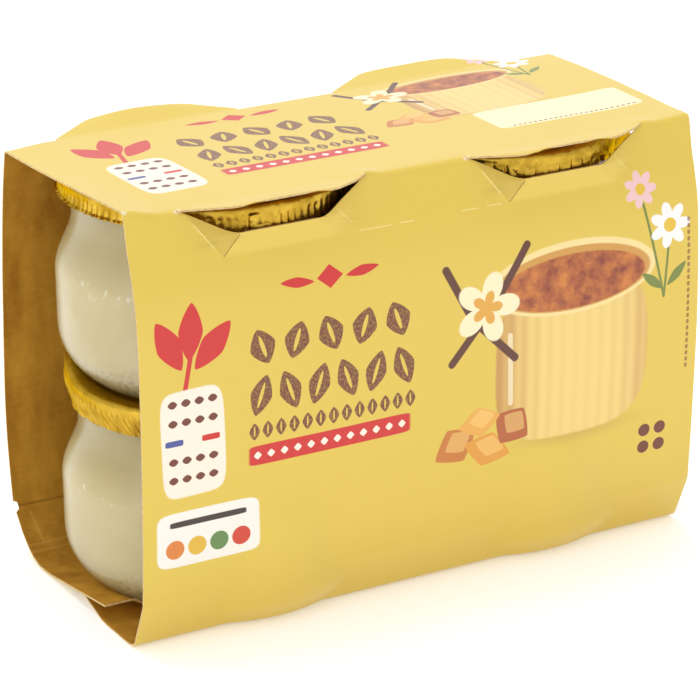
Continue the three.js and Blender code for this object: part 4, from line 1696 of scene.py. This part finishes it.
@dataclass
class Jar:
    """Glass jar with its custard and the film above it, heights from its own base."""

    body_radius: float = 38.1
    foot_corner: float = 14.6
    shoulder_start: float = 27.9
    shoulder_end: float = 42.4
    neck_radius: float = 33.6
    rim_radius: float = 34.8
    rim_underside: float = 48.6
    top: float = 53.1
    wall: float = 3.0
    neck_wall: float = 2.6
    floor: float = 4.5
    inner_corner: float = 11.5
    foot_hollow: float = 0.8
    level: float = 29.5
    soak: float = 0.15
    film: float = 0.3
    skin_dome: float = 0.35
    sides: int = 144

    @staticmethod
    def corner(radius: float, z: float, size: float, steps: int) -> Array:
        """Quarter round between a floor and a wall: radius - size + size sin, z + size - size cos."""
        angle = np.linspace(0.0, math.pi / 2, steps)
        return np.stack([radius - size + size * np.sin(angle), z + size - size * np.cos(angle)], axis=1)

    def shoulder(self, body: float, neck: float, steps: int) -> Array:
        """Smoothstep from the body's radius to the neck's, between the shoulder's heights."""
        t = np.linspace(0.0, 1.0, steps)
        z = self.shoulder_start + (self.shoulder_end - self.shoulder_start) * t
        return np.stack([body + (neck - body) * smooth(t), z], axis=1)

    def glass(self) -> Surface:
        """Closed glass: outside from the foot's hollow to the rim, then down the inside to the floor.

        Returns:
            The closed glass.
        """
        inner, neck_inner = self.body_radius - self.wall, self.neck_radius - self.neck_wall
        foot = self.body_radius - self.foot_corner
        outside = [
            [[0.0, self.foot_hollow], [foot - 6.0, self.foot_hollow], [foot - 2.7, 0.15], [foot - 1.4, 0.0]],
            self.corner(self.body_radius, 0.0, self.foot_corner, 12),
            self.shoulder(self.body_radius, self.neck_radius, 20),
            [[self.neck_radius, self.rim_underside], [self.rim_radius - 0.4, self.rim_underside + 1.2],
             [self.rim_radius, self.rim_underside + 2.0], [self.rim_radius, self.top - 1.0],
             [self.rim_radius - 0.35, self.top - 0.3], [self.rim_radius - 1.0, self.top]],
        ]
        inside = [
            [[neck_inner + 1.2, self.top], [neck_inner + 0.4, self.top - 0.4], [neck_inner, self.top - 1.4]],
            self.shoulder(inner, neck_inner, 14)[::-1],
            self.corner(inner, self.floor, self.inner_corner, 9)[::-1],
            [[0.0, self.floor]],
        ]
        return capped_lathe(np.concatenate([np.array(part) for part in outside + inside]), self.sides)

    def inner_wall(self, steps: int) -> Array:
        """The glass's inner wall from just under the level to the rim, as radius and height.

        Args:
            steps: number of rows.

        Returns:
            The rows, from below.
        """
        inner, neck_inner = self.body_radius - self.wall, self.neck_radius - self.neck_wall
        z = np.linspace(self.level - 2.0, self.top - 1.6, steps)
        t = np.clip((z - self.shoulder_start) / (self.shoulder_end - self.shoulder_start), 0.0, 1.0)
        return np.stack([inner + (neck_inner - inner) * smooth(t), z], axis=1)

    def custard(self) -> Surface:
        """Custard up to its level, reaching just into the wall, with a slightly domed baked skin.

        Returns:
            The closed custard.
        """
        radius = self.body_radius - self.wall + 0.6 * self.soak
        z = self.floor - self.soak
        edge = radius - 0.05
        crown = np.linspace(edge - 1.6, 6.0, 9)
        skin = [[edge, self.level - 0.3], [edge - 0.5, self.level]]
        dome = np.stack([crown, self.level + self.skin_dome * (1.0 - (crown / edge) ** 2)], axis=1)
        profile = [[[0.0, z]], self.corner(radius, z, self.inner_corner, 10), [[radius, self.shoulder_start]],
                   skin, dome, [[0.0, self.level + self.skin_dome]]]
        return capped_lathe(np.concatenate([np.array(part) for part in profile]), self.sides)

    def fog(self) -> Surface:
        """Closed thin ring on the inner wall, from inside the custard's edge up to the rim.

        Returns:
            The closed film.
        """
        wall = self.inner_wall(24)
        rise = np.clip((wall[:, 1:] - self.level + 2.0) / 2.0, 0.2, 1.0)
        outer = wall + np.array([self.soak, 0.0]) * rise
        inner = wall[::-1] - np.array([self.film - self.soak, 0.0])
        ring = np.concatenate([outer, inner])
        angle = np.arange(self.sides) * (2 * math.pi / self.sides)
        shape = (len(ring), self.sides)
        places = turned(np.broadcast_to(ring[:, :1], shape), np.broadcast_to(ring[:, 1:], shape), angle)
        ids = np.arange(len(places)).reshape(shape)
        return Surface(places, grid_quads(np.concatenate([ids, ids[:1]]), wrap=True))


# ---------------------------------------------------------------- the lids


def ripple(angle: Array, seed: int, counts: tuple[int, ...], amount: float) -> Array:
    """Smooth periodic noise: sines with whole counts round the lid, phases and weights from a seed.

    Args:
        angle: angles round the lid.
        seed: start of the draws.
        counts: waves of each sine round the lid.
        amount: largest size.

    Returns:
        The noise at each angle.
    """
    draw = np.random.default_rng(seed)
    total = np.zeros_like(angle)
    for count in counts:
        total += draw.uniform(0.6, 1.0) * np.sin(count * angle + draw.uniform(0.0, 2 * math.pi))
    return amount * total / len(counts)


@dataclass
class Lid:
    """Foil lid: sunk centre, raised rim, side wall and a gathered skirt.

    Args:
        rim_top: height of the raised rim.
        dish: height of the sunk centre.
        seed: start of the lid's own unevenness.
        pleats: number of folds round the skirt.
        slant: lean of the folds in radians for each millimetre down.
        fold_depth: how far the folds stand out at the skirt's edge.
        edge: height of the skirt's edge before it wanders.
        edge_radius: radius of the skirt's edge.
        bead: how far a rolled bead stands out above the edge at the open end, 0 for a frill.
        long_side: angle where the skirt hangs lowest.
        hang: how much lower it hangs there, and a quarter of that closer in.
        hang_power: how narrow that part is, as a power of the cosine.
        swell: how much higher the rim stands at one angle, below 0 for lower.
        swell_side: that angle.
        swell_span: radii between which the swell sets in.
        swell_width: how wide that part is.
        sparkle: share by which the bead breaks up into blobs.
        ragged: how far the edge wanders up and down.
        crimp: form of the folds: 1 a sharp ridge, 2 a wave, far above 2 a narrow valley.
        crease: depth of one upright crease in the front.
        radius: radius of the side wall.
        ring: radius and share of the rise, from the sunk centre to the flat ring inside the rim.
        side: height of the side wall's upper and lower end below the rim.
        open_end: what -cos of the angle passes, and over what run, where the bead stands out.
        bead_at: share of the skirt's fall at the bead, and the bead's width as such a share.
        crease_at: angle of the crease, and how wide it is.
        foil: thickness.
        sides: points round each ring.
    """

    rim_top: float
    dish: float
    seed: int
    pleats: int
    slant: float
    fold_depth: float
    edge: float
    edge_radius: float
    bead: float
    long_side: float
    hang: float
    hang_power: float
    swell: float
    swell_side: float
    swell_span: tuple[float, float]
    swell_width: float
    sparkle: float
    ragged: float
    crimp: float
    crease: float
    radius: float = 36.4
    ring: tuple[tuple[float, float], ...] = ((27.0, 0.0), (28.2, 0.07), (29.2, 0.27), (30.2, 0.56),
                                             (31.2, 0.78), (32.2, 0.88), (33.4, 0.94))
    side: tuple[float, float] = (0.95, 1.5)
    open_end: tuple[float, float] = (0.62, 0.14)
    bead_at: tuple[float, float] = (0.86, 0.07)
    crease_at: tuple[float, float] = (4.54, 0.0006)
    foil: float = 0.09
    sides: int = 1152

    def surface(self) -> Surface:
        """Rings from the centre to the skirt's edge, with folds that deepen down the skirt.

        Returns:
            The closed foil.
        """
        angle = np.arange(self.sides) * (2 * math.pi / self.sides)
        rise = self.rim_top - self.dish
        sunk = [[reach, self.dish + share * rise] for reach, share in self.ring]
        crown = np.array([
            [7.0, self.dish], [15.0, self.dish], [23.0, self.dish], *sunk,
            [34.6, self.rim_top - 0.06], [35.2, self.rim_top], [35.8, self.rim_top - 0.12],
            [36.25, self.rim_top - 0.45], *[[self.radius, self.rim_top - down] for down in self.side],
        ])
        rings = len(crown)
        skirt_steps = 22
        fall = np.linspace(0.0, 1.0, skirt_steps + 1)[1:, None]
        low, high = self.swell_span
        spread = np.cos(angle - self.swell_side) - 1.0
        swell = self.swell * np.exp(spread / self.swell_width)
        start = self.rim_top - self.side[1] + swell
        swing = np.clip(np.cos(angle - self.long_side), 0.0, 1.0) ** self.hang_power
        ragged = ripple(angle, self.seed, (37, 61, 97, 143), self.ragged)
        edge = self.edge - self.hang * swing + ragged
        z = start + (edge - start) * fall
        taper = smooth((fall - 0.25) / 0.75)
        radius = self.radius + (self.edge_radius - 0.25 * self.hang * swing - self.radius) * taper
        blobs = 1.0 + self.sparkle * np.sin(149.0 * angle + ripple(angle, self.seed + 9, (5, 13, 29), 5.0))
        blobs = blobs * (1.0 + self.sparkle * ripple(angle, self.seed + 13, (17, 41, 67), 1.2))
        open_end = smooth((-np.cos(angle) - self.open_end[0]) / self.open_end[1])
        middle, width = self.bead_at
        radius = radius + self.bead * open_end * blobs * np.exp(-(((fall - middle) / width) ** 2))
        middle, width = self.crease_at
        radius = radius - self.crease * np.exp((np.cos(angle - middle) - 1.0) / width) * smooth(fall * 4.0)
        jitter = ripple(angle, self.seed + 7, (3, 5, 11, 17), 2.4)
        phase = self.pleats * angle + jitter + self.slant * self.pleats * (start - z)
        ridge = 1.0 - np.abs(np.sin(phase / 2)) ** self.crimp * 2.0
        uneven = 1.0 + ripple(angle, self.seed + 3, (9, 23, 31), 0.9)
        radius = radius + self.fold_depth * smooth((fall + 0.02) / 0.45) * uneven * ridge
        dents = ripple(angle, self.seed + 5, (4, 7, 12, 19), 0.22) * smooth(fall * 3.0) * (1.0 - 0.6 * fall)
        radius = radius + dents
        shape = (rings, self.sides)
        crown_radius = np.broadcast_to(crown[:, :1], shape)
        crown_z = crown[:, 1:] + swell * np.clip((crown[:, :1] - low) / (high - low), 0.0, 1.0)
        all_radius = np.concatenate([crown_radius, radius])
        all_z = np.concatenate([crown_z, z])
        places = turned(all_radius, all_z, angle)
        ids = np.arange(len(places)).reshape(-1, self.sides)
        pole = len(places)
        fan = np.stack([np.full(self.sides, pole), ids[0], np.roll(ids[0], -1)], axis=1)
        quads = grid_quads(ids, wrap=True)[:, ::-1]
        places = np.concatenate([places, [[0.0, 0.0, self.dish]]])
        return Surface(places, quads, fan).thickened(self.foil)


# ---------------------------------------------------------------- the pack


@dataclass
class Contents:
    """The four jars with their custard, film and lid, each in its place in the sleeve."""

    column_x: float = COLUMN_X
    lower_left_x: float = LOWER_LEFT_X
    stand: float = JAR_STAND
    tier_step: float = TIER_STEP

    def places(self) -> dict[str, tuple[float, float, int]]:
        """For each jar its x, the height of its base and its tier."""
        upper = self.stand + self.tier_step
        return {
            "lower_left": (self.lower_left_x, self.stand, 0),
            "lower_right": (self.column_x, self.stand, 0),
            "upper_left": (-self.column_x, upper, 1),
            "upper_right": (self.column_x, upper, 1),
        }

    def lid(self, number: int, tier: int) -> Lid:
        """The lid of a jar: a slanting frill on the lower tier, fine pleats over a bead on the upper.

        Args:
            number: the jar's number, 3 for the upper right one.
            tier: 0 below, 1 above.

        Returns:
            The lid.
        """
        if tier == 0:
            return Lid(rim_top=55.4, dish=53.35, seed=20 + number, pleats=118, slant=-0.012, fold_depth=0.34,
                       edge=47.7, edge_radius=35.0, bead=0.0, long_side=2.6, hang=3.0, hang_power=30.0,
                       swell=3.5, swell_side=2.62, swell_span=(29.6, 34.6), swell_width=0.066, sparkle=0.0,
                       ragged=0.3, crimp=1.4, crease=0.0)
        right = number == 3
        return Lid(rim_top=53.25, dish=52.8, seed=40 + number, pleats=66 if right else 116, slant=0.0,
                   fold_depth=0.2 if right else 0.15, edge=48.2, edge_radius=36.7, bead=0.6, long_side=-1.57,
                   hang=1.0, hang_power=2.0, swell=-2.9 if right else -0.6,
                   swell_side=-1.05 if right else -0.87, swell_span=(35.2, 36.4),
                   swell_width=0.1 if right else 0.066, sparkle=0.5,
                   ragged=0.1, crimp=9.0 if right else 2.0, crease=0.0 if right else 0.6)

    def build(self, kit: ShapeKit) -> list[bpy.types.Object]:
        """Makes every jar's pieces.

        Args:
            kit: the shared node groups.

        Returns:
            The pieces.
        """
        glass = JarGlass().material()
        satin = GoldFoil(polish=0.34, crumple=0.0003).material(kit, "gold_foil_satin")
        foil = GoldFoil(crumple=0.0012).material(kit, "gold_foil")
        custard = Custard().material(kit, "baked_custard")
        film = Custard(cover=0.97).material(kit, "custard_film")
        jar = Jar()
        made = []
        for number, (name, (x, z, tier)) in enumerate(self.places().items()):
            lid = self.lid(number, tier).surface()
            parts = [
                (f"glass_{name}", jar.glass(), glass, "jar_", "glass", 50.0),
                (f"filling_{name}", jar.custard(), custard, "custard_", "custard", 50.0),
                (f"film_{name}", jar.fog(), film, None, "custard", 50.0),
                (f"foil_{name}", lid, foil if tier else satin, "lid_", "foil", 60.0),
            ]
            for label, surface, material, node, slot, sharp in parts:
                piece = moved(surface, x, z).build(label, [material], sharp)
                if node is not None:
                    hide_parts(node + name)
                made.append(piece)
        return made


@dataclass
class Studio:
    """Floor, soft light and the camera."""

    azimuth: float = math.radians(-28.78)
    elevation: float = math.radians(20.63)
    roll: float = math.radians(-0.89)
    distance: float = 884.06
    lens: float = 179.8
    target: tuple[float, float, float] = (-0.57, 0.0, 52.01)
    floor_size: float = 3.0
    world: float = 0.86
    lamps: tuple = (
        ("key", (-0.5, -0.9, 1.1), (0.0, 0.0, 0.05), 0.9, 0.6),
        ("side", (-1.5, -0.35, 0.45), (0.0, 0.0, 0.05), 0.9, 3.4),
        ("over", (0.0, 0.45, 1.5), (0.0, 0.0, 0.1), 0.8, 8.3),
        ("back", (0.7, 1.3, 0.62), (0.0, 0.0, 0.1), 0.9, 1.0),
    )

    def camera(self) -> bpy.types.Object:
        """Camera at its azimuth, elevation and roll about the target.

        Returns:
            The camera.
        """
        back = Vector((math.sin(self.azimuth) * math.cos(self.elevation),
                       -math.cos(self.azimuth) * math.cos(self.elevation), math.sin(self.elevation)))
        right = (-back).cross(Vector((0, 0, 1))).normalized()
        up = right.cross(-back)
        turned_right = math.cos(self.roll) * right + math.sin(self.roll) * up
        turned_up = math.cos(self.roll) * up - math.sin(self.roll) * right
        data = bpy.data.cameras.new("camera")
        data.lens = self.lens
        data.sensor_width = 36.0
        data.clip_start, data.clip_end = 0.05, 20.0
        camera = bpy.data.objects.new("camera", data)
        bpy.context.scene.collection.objects.link(camera)
        axes = Matrix((turned_right, turned_up, back)).transposed().to_4x4()
        place = (Vector(self.target) + back * self.distance) * MM
        camera.matrix_world = Matrix.Translation(place) @ axes
        bpy.context.scene.camera = camera
        return camera

    def floor(self) -> bpy.types.Object:
        """Large flat grid under the pack.

        Returns:
            The floor.
        """
        steps = np.linspace(-self.floor_size, self.floor_size, 9) / MM
        x, y = np.meshgrid(steps, steps)
        places = np.stack([x.ravel(), y.ravel(), np.zeros(x.size)], axis=1)
        surface = Surface(places, grid_quads(np.arange(x.size).reshape(x.shape)))
        made = surface.build("floor", [StudioFloor().material()], 60.0)
        return made

    def lamp(self, name: str, place: tuple, aim: tuple, size: float, power: float) -> bpy.types.Object:
        """Square soft lamp at a place in metres, aimed at a point.

        Args:
            name: its name.
            place: where it stands.
            aim: the point.
            size: its side in metres.
            power: its power in watts.

        Returns:
            The lamp.
        """
        data = bpy.data.lights.new(name, "AREA")
        data.shape, data.size, data.energy = "SQUARE", size, power
        lamp = bpy.data.objects.new(name, data)
        bpy.context.scene.collection.objects.link(lamp)
        lamp.location = place
        lamp.rotation_euler = (Vector(place) - Vector(aim)).to_track_quat("Z", "Y").to_euler()
        return lamp

    def build(self) -> None:
        """Sets the world, the lamps, the floor and the camera."""
        world = bpy.data.worlds.new("studio")
        world.use_nodes = True
        sky = world.node_tree.nodes["Background"].inputs
        sky[0].default_value, sky[1].default_value = (1.0, 1.0, 1.0, 1.0), self.world
        bpy.context.scene.world = world
        bpy.context.scene.view_settings.view_transform = "Standard"
        for lamp in self.lamps:
            self.lamp(*lamp)
        self.floor()
        self.camera()


def main() -> None:
    """Loads the frame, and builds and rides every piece."""
    logging.basicConfig(level=logging.INFO, format="%(name)s: %(message)s")
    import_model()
    kit = ShapeKit()
    pieces = [Sleeve().build(kit), *Contents().build(kit)]
    for piece in pieces:
        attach(piece, ROOT)
        log.info("%s: %d faces", piece.name, len(piece.data.polygons))
    Studio().build()


if __name__ == "__main__":
    main()
